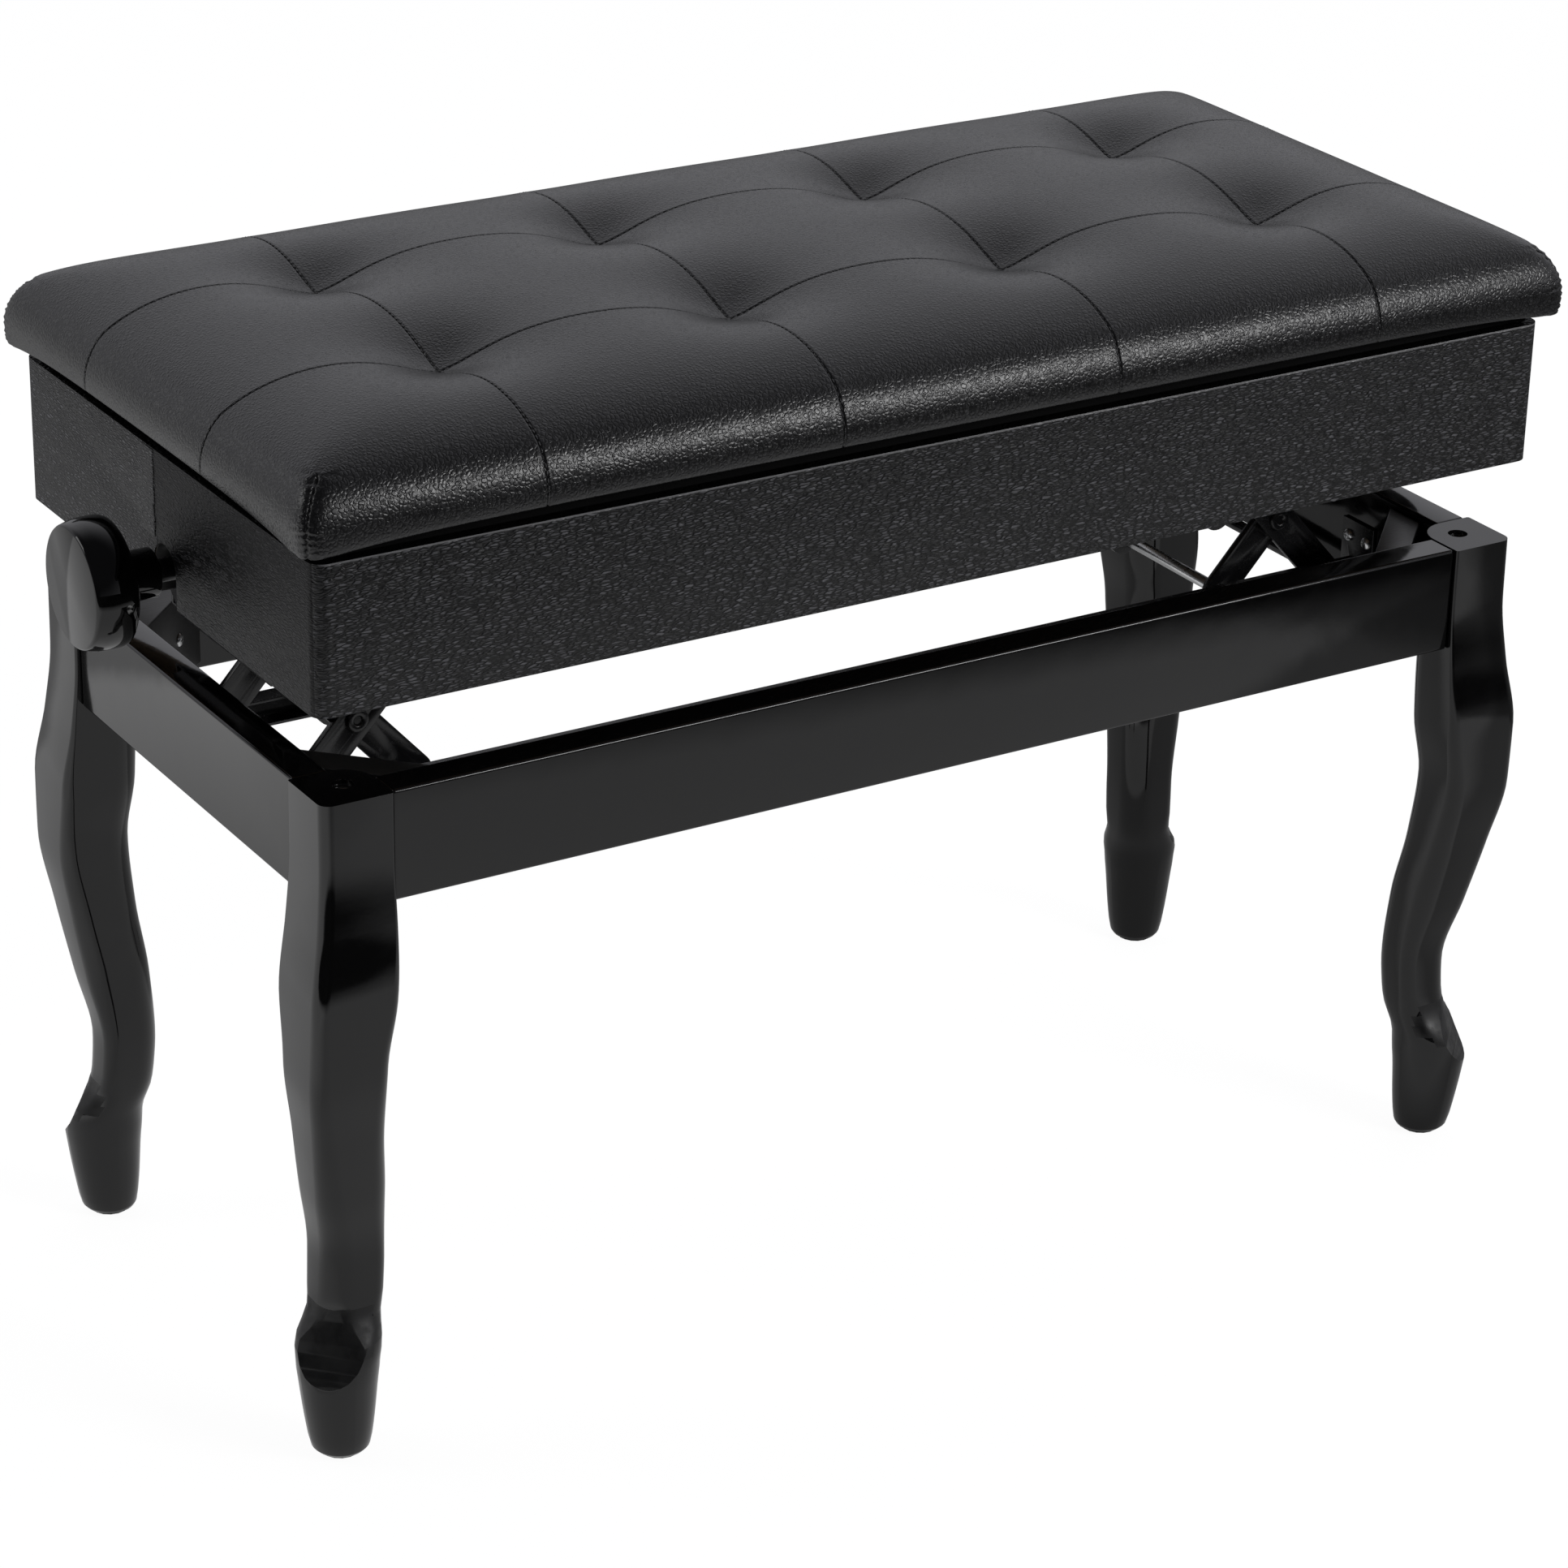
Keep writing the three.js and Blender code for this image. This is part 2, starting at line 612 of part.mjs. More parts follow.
function nut() {
  // threaded block on the rod, with two cheeks that reach down to the sliding shaft
  const block = between([-nutLength / 2, -nutHalfWidth, -nutBlockHalfHeight],
    [nutLength / 2, nutHalfWidth, nutBlockHalfHeight]);
  const drop = seatPivotZ - rodZ;
  const cheeks = sides.map(({ y }) => {
    const inner = nutHalfWidth - nutCheekThickness;
    return between([-nutLength / 2, Math.min(y * inner, y * nutHalfWidth), drop - armHalfWidth],
      [nutLength / 2, Math.max(y * inner, y * nutHalfWidth), 0]);
  });
  const bore = alongX(bar(rodRadius + fitGap, -nutLength, nutLength));
  const window = between(
    [-seatPinRadius - nutPlayX, -nutHalfWidth - 1, drop - seatPinRadius - nutPlayZ],
    [seatPinRadius + nutPlayX, nutHalfWidth + 1, drop + seatPinRadius + nutPlayZ]);
  return cut(join(block, ...cheeks), bore, window);
}

for (const { name, x } of ends) {
  place(`lift_nut_${name}`, nut(), 'blackSteel', [x * slidePivotX, 0, rodZ]);
}

function knob() {
  // turned knob with a narrow hub, bored for the rod; its face looks along +X
  const hubEnd = -knobHubLength;
  const bore = rodRadius + fitGap;
  const boreEnd = hubEnd + knobBoreDepth;
  const front = [0, 1, 2, 3].map((step) => {
    const angle = step * Math.PI / 6;
    return [knobFaceRadius - knobEdge * (1 - Math.cos(angle)),
      knobThickness - knobEdge * (1 - Math.sin(angle))];
  });
  const profile = [[bore, boreEnd], [bore, hubEnd], [knobHubRadius, hubEnd],
    [knobHubRadius, 0], [knobRadius - knobBackEdge, 0], [knobRadius, knobBackEdge],
    [knobRadius, knobThickness / 2], ...front, [0, knobThickness], [0, boreEnd],
    [bore, boreEnd]];
  return alongX(lathe(profile, 32));
}

for (const { name, x } of ends) {
  place(`knob_${name}`, knob(), 'knob', [x * knobBack, 0, rodZ], x > 0 ? 0 : Math.PI);
}

// ---- Seat box -------------------------------------------------------------

function notch(halfWidth, low, high) {
  // arched slot for the rod, cut up from the lower edge; a block along X with a round top
  const shape = new THREE.Shape();
  const sill = boxBottom + notchSill;
  shape.moveTo(-halfWidth, boxBottom - 1);
  shape.lineTo(halfWidth, boxBottom - 1);
  shape.absarc(0, sill, halfWidth, 0, Math.PI);
  shape.closePath();
  const half = (high - low) / 2;
  return sweepX(shape, half).translate((low + high) / 2, 0, 0);
}

const grooveTool = between(
  [-panelInX - floorGrooveDepth - fitGap, -panelInY - floorGrooveDepth - fitGap,
    floorBottom - fitGap],
  [panelInX + floorGrooveDepth + fitGap, panelInY + floorGrooveDepth + fitGap,
    floorBottom + floorThickness + fitGap]);

const hingeRebate = between(
  [-hingeLength / 2 - fitGap, hingeY - hingeKnuckleRadius - hingeLeafWidth - fitGap,
    boxTop - hingeLeafThickness - 2 * fitGap],
  [hingeLength / 2 + fitGap, halfBoxWidth + 1, boxTop + 1]);

function longPanel(y) {
  const radius = boxCornerRadius - wrapThickness - fitGap;
  const plan = roundedRectangle(panelOutX, panelOutY, radius);
  const ring = extrude(plan, boxHeight - 2 * fitGap).translate(0, 0, boxBottom + fitGap);
  const keep = between([-panelOutX - 1, Math.min(y * panelInY, y * (panelOutY + 1)), boxBottom],
    [panelOutX + 1, Math.max(y * panelInY, y * (panelOutY + 1)), boxTop]);
  const panel = toGeometry(toSolid(ring).intersect(toSolid(keep)));
  return y > 0 ? cut(panel, grooveTool, hingeRebate) : cut(panel, grooveTool);
}

for (const { name, y } of sides) {
  place(`box_${name}`, longPanel(y), 'board');
}

for (const { name, x } of ends) {
  const panel = between([panelInX, fitGap - panelInY, boxBottom + fitGap],
    [panelOutX, panelInY - fitGap, boxTop - fitGap]);
  const end = cut(panel, grooveTool, notch(notchHalfWidth + fitGap, panelInX - 1, panelOutX + 1));
  place(`box_${name}`, end, 'board', [0, 0, 0], x > 0 ? 0 : Math.PI);
}

place('box_floor', between(
  [-panelInX - floorGrooveDepth, -panelInY - floorGrooveDepth, floorBottom],
  [panelInX + floorGrooveDepth, panelInY + floorGrooveDepth, floorBottom + floorThickness],
), 'board');

function boxWrap() {
  // leatherette glued round the box's four sides
  const outer = roundedRectangle(halfBoxLength, halfBoxWidth, boxCornerRadius);
  const inner = roundedRectangle(halfBoxLength - wrapThickness, halfBoxWidth - wrapThickness,
    boxCornerRadius - wrapThickness);
  outer.holes.push(inner);
  const band = extrude(outer, boxHeight).translate(0, 0, boxBottom);
  return cut(band, notch(notchHalfWidth, -halfBoxLength - 1, 1 - panelInX),
    notch(notchHalfWidth, panelInX - 1, halfBoxLength + 1), hingeRebate);
}

place('box_wrap', boxWrap(), 'boxCover');

// ---- Lid, cushion and hinge -----------------------------------------------

function lidBoard() {
  const board = between([-lidHalfLength, -lidHalfWidth, lidBottom],
    [lidHalfLength, lidHalfWidth, lidTop]);
  const rebate = between(
    [-hingeLength / 2 - fitGap, hingeY - hingeKnuckleRadius - hingeLeafWidth - fitGap,
      lidBottom - 1],
    [hingeLength / 2 + fitGap, lidHalfWidth + 1, lidBottom + hingeLeafThickness + fitGap]);
  return cut(board, rebate);
}

place('lid_board', lidBoard(), 'board');

// Crown of the cushion: how far the outline draws in, and how high, as shares of the height.
const cushionCrown = [
  { up: 0.00, in: 4 }, { up: 0.10, in: 0 }, { up: 0.30, in: 0 }, { up: 0.48, in: 4 },
  { up: 0.66, in: 16 }, { up: 0.82, in: 36 }, { up: 0.94, in: 68 }, { up: 1.00, in: 110 },
];

function cushion() {
  const bottom = lidTop - cushionLipDrop;
  const rings = cushionCrown.map(({ up, in: drawn }) => {
    const halfX = halfBoxLength + cushionOverhang - drawn;
    const halfY = halfBoxWidth + cushionOverhang - drawn;
    const radius = cushionCornerRadius + drawn / 3;
    return roundedRectangle(halfX, halfY, radius).getPoints(5).slice(0, -1)
      .map((p) => [p.x, p.y, bottom + up * cushionHeight]);
  });
  const recess = between([-lidHalfLength - fitGap, -lidHalfWidth - fitGap, bottom - 1],
    [lidHalfLength + fitGap, lidHalfWidth + fitGap, lidTop + fitGap]);
  return cut(loft(rings), recess);
}

place('cushion', cushion(), 'seatCover');

function hingeLeaf(low, first) {
  // leaf between the box's rim and the lid, with every other knuckle from the given one
  const start = hingeY - hingeKnuckleRadius - hingeLeafWidth;
  const edge = hingeY - hingeKnuckleRadius - fitGap;
  const pitch = hingeLength / hingeKnuckleCount;
  let leaf = between([-hingeLength / 2, start, low],
    [hingeLength / 2, edge, low + hingeLeafThickness]);
  for (let i = first; i < hingeKnuckleCount; i += 2) {
    const from = -hingeLength / 2 + i * pitch + fitGap / 2;
    const to = from + pitch - fitGap;
    const knuckle = alongX(bar(hingeKnuckleRadius, from, to, 12)).translate(0, hingeY, hingeZ);
    const root = between([from, edge - 1, low], [to, hingeY, low + hingeLeafThickness]);
    leaf = join(leaf, knuckle, root);
  }
  const bore = alongX(bar(hingePinRadius + fitGap / 2, -hingeLength, hingeLength, 12));
  return cut(leaf, bore.translate(0, hingeY, hingeZ));
}

place('hinge_leaf_box', hingeLeaf(boxTop - hingeLeafThickness, 0), 'zincSteel');
place('hinge_leaf_lid', hingeLeaf(lidBottom, 1), 'zincSteel');
place('hinge_pin', alongX(bar(hingePinRadius, -hingeLength / 2, hingeLength / 2, 12)),
  'zincSteel', [0, hingeY, hingeZ]);

export default bench;
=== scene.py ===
import json
import math

import bmesh
import bpy
from mathutils import Matrix, Vector


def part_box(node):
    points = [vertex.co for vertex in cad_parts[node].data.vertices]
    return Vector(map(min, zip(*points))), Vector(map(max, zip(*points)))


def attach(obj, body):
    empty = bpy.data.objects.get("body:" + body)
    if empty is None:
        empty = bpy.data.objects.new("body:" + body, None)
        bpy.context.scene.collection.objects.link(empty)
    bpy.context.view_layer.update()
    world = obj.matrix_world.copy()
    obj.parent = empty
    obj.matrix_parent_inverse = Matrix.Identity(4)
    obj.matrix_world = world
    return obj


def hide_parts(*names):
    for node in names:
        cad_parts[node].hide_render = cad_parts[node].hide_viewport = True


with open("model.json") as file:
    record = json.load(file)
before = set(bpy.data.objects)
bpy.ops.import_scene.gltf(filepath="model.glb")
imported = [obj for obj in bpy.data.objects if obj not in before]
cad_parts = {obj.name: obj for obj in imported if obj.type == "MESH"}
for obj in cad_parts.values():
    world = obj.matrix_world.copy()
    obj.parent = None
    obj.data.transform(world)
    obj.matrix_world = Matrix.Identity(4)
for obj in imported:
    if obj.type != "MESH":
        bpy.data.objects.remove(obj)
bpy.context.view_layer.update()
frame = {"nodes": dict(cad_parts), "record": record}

# ---- Legs -------------------------------------------------------------------
# Four cabriole legs, each shaped from one length of hardwood, with a scoop cut above the toe.
# They are filled, sprayed black and polished to a deep gloss. A socket-head bolt is sunk in
# each top, and a rubber pad is nailed under each foot.

mm = 0.001
body_of = {node: body for body, members in frame["record"]["behaviour"]["bodies"].items()
           for node in members}


def wire(beside, kind, inputs=None, **settings):
    """Adds a node beside another or to a tree; each input is a value or a node's output."""
    tree = beside.id_data
    made = tree.nodes.new("ShaderNode" + kind)
    for name, value in settings.items():
        setattr(made, name, value)
    for name, value in (inputs or {}).items():
        if isinstance(value, bpy.types.NodeSocket):
            tree.links.new(value, made.inputs[name])
        else:
            made.inputs[name].default_value = value
    return made.outputs


def coated(name, colour, roughness, **even):
    """A material, its shader with what is even all over, and the places on its surface."""
    material = bpy.data.materials.new(name)
    material.use_nodes = True
    shader = material.node_tree.nodes["Principled BSDF"]
    shader.inputs["Base Color"].default_value = (*colour, 1)
    shader.inputs["Roughness"].default_value = roughness
    for socket, value in even.items():
        shader.inputs[socket.replace("_", " ")].default_value = value
    return material, shader, wire(shader, "TexCoord")["Object"]


def scaled(place, scale):
    return wire(place, "Mapping", {"Vector": place, "Scale": scale})[0]


def noise(place, scale, detail=3, roughness=0.5):
    return wire(place, "TexNoise", {"Vector": place, "Scale": scale, "Detail": detail,
                                    "Roughness": roughness})[0]


def spread(value, low, high, start=0.0, end=1.0):
    """Maps a value from start..end to low..high."""
    return wire(value, "MapRange", {0: value, 1: start, 2: end, 3: low, 4: high})[0]


def blended(share, first, second):
    """A colour between two, each a plain colour or another node's output."""
    ends = [end if isinstance(end, bpy.types.NodeSocket) else (*end, 1)
            for end in (first, second)]
    return wire(share, "Mix", {0: share, 6: ends[0], 7: ends[1]}, data_type="RGBA")[2]


def feed(shader, socket, value):
    shader.id_data.links.new(value, shader.inputs[socket])


def tint(shader, share, first, second):
    feed(shader, "Base Color", blended(share, first, second))


def relief(shader, height, distance, strength=1.0, under=None):
    """Raises the surface by a height pattern, over another relief if there is one."""
    inputs = {"Strength": strength, "Distance": distance, "Height": height}
    if under is not None:
        inputs["Normal"] = under
    normal = wire(shader, "Bump", inputs)[0]
    feed(shader, "Normal", normal)
    return normal


def lacquer_finish(name, colour, roughness):
    """Polished spray lacquer: faint orange peel, polishing haze and a little dust."""
    material, shader, place = coated(name, colour, roughness)
    cloud = noise(place, 14, 4, 0.6)
    tint(shader, cloud, colour, [c * 1.9 for c in colour])
    haze = noise(place, 55, 6, 0.65)
    feed(shader, "Roughness", spread(haze, roughness * 0.7, roughness * 1.7, 0.3, 0.75))
    ripple = relief(shader, noise(place, 38, 1), 0.35 * mm, 0.35)
    relief(shader, noise(place, 420, 1), 0.012 * mm, 0.5, ripple)
    return material


lacquer = lacquer_finish("black_lacquer", (0.002, 0.002, 0.0021), 0.075)
# its colour is painted a little deeper black than the polished lacquer, as shade in the scoop
dull_shaded_lacquer = lacquer_finish("dull_shaded_lacquer", (0.0012, 0.0012, 0.0012), 0.4)

leg_top = 375.6 * mm
leg_corner = (366 * mm, 166 * mm)       # outer corner of a leg's square top
leg_side = 38.2 * mm
foot_lift = 2.3 * mm
apron_bottom = 316.1 * mm
foot_lean = 6.3 * mm
scoop_lip = 48 * mm
scoop_rise = 25 * mm                    # from the lip up to the scoop's top
scoop_reach = 13.5 * mm                 # how much further in the scoop's top lies
scoop_radius = 62 * mm
shoulder_top = 95 * mm                  # the dull lacquer on the toe's shoulder ends here
leg_arris = 1.1 * mm
bolt_inset = 21 * mm
bolt_well_radius = 5.5 * mm
bolt_well_depth = 10.8 * mm

# share of the height, how far the outer corner and the inner face stand out from the square
# top, and the rounding of the outer, side and inner corners, in millimetres
leg_stations = [
    (0.000, -10.4, 7.8, 13.4, 13.4, 13.4),
    (0.007, -8.0, 6.2, 15.4, 15.4, 15.4),
    (0.047, -4.8, 4.2, 17.7, 17.7, 17.7),
    (0.112, -1.2, 2.2, 20.6, 20.6, 20.6),
    (0.138, -0.2, 1.2, 21.5, 21.5, 21.5),
    (0.165, -1.5, 0.8, 21.2, 18.0, 21.2),
    (0.213, -15.5, -2.1, 16.0, 11.5, 16.0),
    (0.238, -17.6, -3.0, 15.0, 8.0, 15.0),
    (0.294, -18.7, -4.0, 14.0, 7.4, 14.6),
    (0.396, -8.9, -2.2, 12.0, 10.4, 14.6),
    (0.503, 1.2, 2.4, 9.6, 9.4, 15.4),
    (0.610, 9.7, 4.6, 8.0, 7.6, 16.4),
    (0.704, 10.2, 0.9, 7.2, 5.6, 16.8),
    (0.811, 2.8, 0.0, 6.6, 2.2, 17.4),
    (0.905, -1.7, 0.0, 6.4, 1.5, 17.8),
    (1.000, -2.1, 0.0, 6.4, 1.4, 18.0),
]


def along_leg(column, at):
    """A station size anywhere on the leg, on a smooth curve that never overshoots."""
    rows = leg_stations
    slopes = [(b[column] - a[column]) / (b[0] - a[0]) for a, b in zip(rows, rows[1:])]
    turns = [0 if a * b <= 0 else 2 * a * b / (a + b) for a, b in zip(slopes, slopes[1:])]
    tangents = [slopes[0], *turns, slopes[-1]]
    i = max(k for k in range(len(rows) - 1) if k == 0 or at > rows[k][0])
    span = rows[i + 1][0] - rows[i][0]
    t = (at - rows[i][0]) / span
    return mm * ((1 + 2 * t) * (1 - t) ** 2 * rows[i][column]
                 + t * (1 - t) ** 2 * span * tangents[i]
                 + t * t * (3 - 2 * t) * rows[i + 1][column]
                 + t * t * (t - 1) * span * tangents[i + 1])


def leg_ring(at, hand, arc_steps):
    """One section, with the outer corner towards +X, measured from the top's outer corner."""
    outer_edge, side_edge, inner_edge = (along_leg(k, at) for k in (3, 4, 5))
    arris = along_leg(1, at) + (math.sqrt(2) - 1) * outer_edge
    side = leg_side + arris / math.sqrt(2) - along_leg(2, at)
    middle = arris - side / math.sqrt(2)
    z = foot_lift + at * (leg_top - foot_lift)
    lean = hand * foot_lean * max(0, 1 - (z / apron_bottom) ** 3) ** 2
    ring = []
    for quarter, edge in enumerate((outer_edge, side_edge, inner_edge, side_edge)):
        radius = min(edge, side / 2 - 0.01 * mm)
        out = (side / 2 - radius) * math.sqrt(2)
        facing = quarter * math.pi / 2
        for step in range(arc_steps + 1):
            angle = facing + (step / arc_steps - 0.5) * math.pi / 2
            ring.append(Vector((middle + out * math.cos(facing) + radius * math.cos(angle),
                                lean + out * math.sin(facing) + radius * math.sin(angle), z)))
    return ring


def piece_from(bm, name, material=None, sharp=None):
    """Makes an object of a bmesh and frees it; edges over the sharp angle stay crisp."""
    mesh = bpy.data.meshes.new(name)
    bm.to_mesh(mesh)
    bm.free()
    mesh.shade_smooth()
    piece = bpy.data.objects.new(name, mesh)
    bpy.context.scene.collection.objects.link(piece)
    if material:
        mesh.materials.append(material)
    if sharp:
        mesh.set_sharp_from_angle(angle=math.radians(sharp))
    return piece


def loft(rings):
    """A closed skin over rings of equally many points, from the lowest ring to the highest."""
    around, along = len(rings[0]), len(rings) - 1
    bm = bmesh.new()
    bmesh.ops.create_grid(bm, x_segments=around, y_segments=along, size=1)
    for vert in bm.verts:
        column = round((vert.co.x + 1) / 2 * around)
        row = round((vert.co.y + 1) / 2 * along)
        vert.co = rings[row][column % around]
    bmesh.ops.remove_doubles(bm, verts=bm.verts, dist=1e-7)
    bmesh.ops.holes_fill(bm, edges=bm.edges, sides=0)
    bmesh.ops.recalc_face_normals(bm, faces=bm.faces)
    return bm


def baked(piece):
    """Applies a piece's modifiers to its mesh."""
    bpy.context.view_layer.update()
    shape = piece.evaluated_get(bpy.context.evaluated_depsgraph_get())
    mesh = bpy.data.meshes.new_from_object(shape)
    piece.modifiers.clear()
    piece.data = mesh
    return piece


def carve(piece, *cutters):
    """Cuts other pieces out of a piece, and removes them."""
    for cutter in cutters:
        cut = piece.modifiers.new("Cut", "BOOLEAN")
        cut.operation = "DIFFERENCE"
        cut.object = cutter
    baked(piece)
    for cutter in cutters:
        bpy.data.objects.remove(cutter)
    return piece


def at_spot(point, facing):
    """The place of a piece that stands on a point and looks along its facing."""
    turn = Vector(facing).to_track_quat("Z", "Y").to_matrix().to_4x4()
    return Matrix.Translation(point) @ turn


def round_bar(radius, length, axis, centre, steps=32):
    """A plain round bar, for cutting holes."""
    bm = bmesh.new()
    bmesh.ops.create_cone(bm, cap_ends=True, segments=steps, radius1=radius, radius2=radius,
                          depth=length)
    bmesh.ops.transform(bm, matrix=at_spot(centre, axis), verts=bm.verts)
    return piece_from(bm, "bar")


def ease_edges(piece, radius, segments=2, sharper_than=35):
    """Rounds the sharp edges a little, and keeps the flats looking flat."""
    easing = piece.modifiers.new("Eased edges", "BEVEL")
    easing.width = radius
    easing.segments = segments
    easing.limit_method = "ANGLE"
    easing.angle_limit = math.radians(sharper_than)
    easing.harden_normals = True
    easing.miter_outer = "MITER_ARC"
    return piece


def belongs(piece, body, slot, *replaced):
    """Says which body a piece rides on and which CAD nodes it stands for; the finish slot is
    not used.
    """
    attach(piece, body)
    if replaced:
        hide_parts(*replaced)
    return piece


def leg(name, x, y):
    hand = -x * y
    heights = [i / 8 * leg_stations[1][0] for i in range(8)]
    heights += [leg_stations[1][0] + (1 - leg_stations[1][0]) * i / 64 for i in range(65)]
    bm = loft([leg_ring(at, hand, 8) for at in heights])
    piece = piece_from(bm, f"leg_{name}_shaped", lacquer)

    lip = along_leg(1, (scoop_lip - foot_lift) / (leg_top - foot_lift))
    chord = math.hypot(scoop_reach, scoop_rise)
    sag = math.sqrt(scoop_radius ** 2 - chord ** 2 / 4)
    centre = Vector((lip - scoop_reach / 2 + sag * scoop_rise / chord, 0,
                     scoop_lip + scoop_rise / 2 + sag * scoop_reach / chord))
    scoop = round_bar(scoop_radius, 4 * leg_side, (0, 1, 0), centre, 192)
    well = round_bar(bolt_well_radius, 2 * bolt_well_depth, (0, 0, 1),
                     (-bolt_inset * math.sqrt(2), 0, leg_top))
    carve(piece, scoop, well)
    # the polishing wheel doesn't reach into the scoop or on to the shoulder beside it, where
    # the lacquer stays dull; there it is also painted a little deeper black, as painted shade
    # in the hollow
    piece.data.materials.append(dull_shaded_lacquer)
    for face in piece.data.polygons:
        away = math.hypot(face.center.x - centre.x, face.center.z - centre.z)
        shoulder = scoop_lip < face.center.z < shoulder_top and face.normal.z > 0.2
        face.material_index = int(shoulder or abs(away - scoop_radius) < 0.1 * mm)
    turn = Matrix.Rotation(math.atan2(y, x), 4, "Z")
    spot = Matrix.Translation((x * leg_corner[0], y * leg_corner[1], 0))
    piece.data.transform(spot @ turn)
    ease_edges(piece, leg_arris, 3, 50)
    return belongs(piece, "leg_frame", "lacquered_wood", f"leg_{name}")


corners = {"front_left": (-1, -1), "front_right": (1, -1),
           "back_left": (-1, 1), "back_right": (1, 1)}
for name, (x, y) in corners.items():
    leg(name, x, y)


def eased(node, radius, material, slot, segments=2):
    """A CAD piece again, its loose triangles joined and its sharp edges eased."""
    bm = bmesh.new()
    bm.from_mesh(frame["nodes"][node].data)
    bmesh.ops.remove_doubles(bm, verts=bm.verts, dist=1e-6)
    bmesh.ops.dissolve_limit(bm, angle_limit=math.radians(0.5), verts=bm.verts, edges=bm.edges)
    piece = piece_from(bm, node + "_eased", material)
    ease_edges(piece, radius, segments)
    return belongs(piece, body_of[node], slot, node)


def zinc_finish():
    """Bright zinc plate: cloudy passivation and fine drawing marks."""
    material, shader, place = coated("bright_zinc", (0.62, 0.63, 0.64), 0.25, Metallic=1.0)
    cloud = noise(place, 90, 4)
    tint(shader, cloud, (0.5, 0.51, 0.53), (0.74, 0.74, 0.73))
    marks = noise(place, 300, 5)
    feed(shader, "Roughness", spread(marks, 0.18, 0.4))
    relief(shader, noise(place, 900, 2), 0.02 * mm, 0.5)
    return material


def rubber_finish():
    """Moulded rubber, dusty and a little grey from the floor."""
    material, shader, place = coated("pad_rubber", (0.03, 0.03, 0.03), 0.8)
    dust = noise(place, 200, 5)
    tint(shader, dust, (0.018, 0.018, 0.018), (0.05, 0.049, 0.047))
    relief(shader, noise(place, 1500, 3), 0.1 * mm, 0.6)
    return material


zinc = zinc_finish()
rubber = rubber_finish()
for name in corners:
    eased(f"leg_bolt_{name}", 0.35 * mm, zinc, "zinc_steel")
    eased(f"foot_pad_{name}", 0.5 * mm, rubber, "pad")

# ---- Aprons and corner blocks ------------------------------------------------
# Four straight boards join the legs, lacquered like them, their arrises eased so that they
# shine. Inside each corner a slanted block is glued and screwed across two aprons.

for side in ("front", "back", "left", "right"):
    eased(f"apron_{side}", 1.8 * mm, lacquer, "lacquered_wood", 4)


def between(share, first, second):
    """A number between two."""
    return wire(first, "Mix", {0: share, 2: first, 3: second})[0]


def timber_finish(name, pale, dark, roughness, along, depth):
    """Bare or painted board: long fibres and pores that run along X."""
    material, shader, place = coated(name, pale, roughness)
    place = scaled(place, along)
    fibre = noise(place, 60, 6, 0.7)
    figure = wire(place, "TexWave", {"Vector": place, "Scale": 9, "Distortion": 7, "Detail": 3,
                                     "Detail Scale": 1.5}, bands_direction="Z")["Fac"]
    tint(shader, between(0.35, fibre, figure), dark, pale)
    feed(shader, "Roughness", spread(fibre, roughness * 0.8, roughness * 1.2))
    relief(shader, noise(place, 900, 4), depth, 0.6)
    return material


block_paint = timber_finish("painted_block", (0.016, 0.016, 0.016), (0.008, 0.008, 0.008),
                            0.4, (0.15, 1, 1), 0.15 * mm)
board = timber_finish("bare_board", (0.42, 0.31, 0.2), (0.22, 0.145, 0.08), 0.6,
                      (0.08, 1, 1), 0.12 * mm)
for name in corners:
    eased(f"corner_block_{name}", 0.8 * mm, block_paint, "board")


def turned(profile, axis, centre, steps=48):
    """A bmesh spun from a profile of (radius, distance along the axis)."""
    bm = bmesh.new()
    verts = [bm.verts.new((radius, 0, along)) for radius, along in profile]
    edges = [bm.edges.new(pair) for pair in zip(verts, verts[1:])]
    bmesh.ops.spin(bm, geom=verts + edges, axis=(0, 0, 1), cent=(0, 0, 0), angle=2 * math.pi,
                   steps=steps, use_merge=True)
    bmesh.ops.remove_doubles(bm, verts=bm.verts, dist=1e-7)
    bmesh.ops.recalc_face_normals(bm, faces=bm.faces)
    bmesh.ops.transform(bm, matrix=at_spot(centre, axis), verts=bm.verts)
    return bm


def screw_head(radius, height):
    """A pan head with a cross recess, standing on the origin and facing +Z."""
    profile = [(0, height), (radius * 0.45, height * 0.96), (radius * 0.8, height * 0.7),
               (radius * 0.98, height * 0.3), (radius, 0), (0, 0)]
    head = piece_from(turned(profile, (0, 0, 1), (0, 0, 0), 24), "screw_head")
    slots = []
    for along, across in ((radius, radius * 0.22), (radius * 0.22, radius)):
        bm = bmesh.new()
        bmesh.ops.create_cube(bm, size=1)
        bmesh.ops.scale(bm, vec=(along, across, height), verts=bm.verts)
        bmesh.ops.translate(bm, vec=(0, 0, height * 0.95), verts=bm.verts)
        slots.append(piece_from(bm, "recess"))
    return carve(head, *slots)


def repeated(pattern, places, name, material):
    """One piece made of a pattern at every place, and the pattern is then removed."""
    bm = bmesh.new()
    for place in places:
        copy = pattern.data.copy()
        copy.transform(place)
        bm.from_mesh(copy)
        bpy.data.meshes.remove(copy)
    bpy.data.objects.remove(pattern)
    return piece_from(bm, name, material, 35)


def driven_screws(name, body, radius, height, spots):
    """Screw heads on points of a surface, each given with the way that it faces."""
    places = [at_spot(point, facing) for point, facing in spots]
    screws = repeated(screw_head(radius, height), places, name, zinc)
    return belongs(screws, body, "zinc_steel")


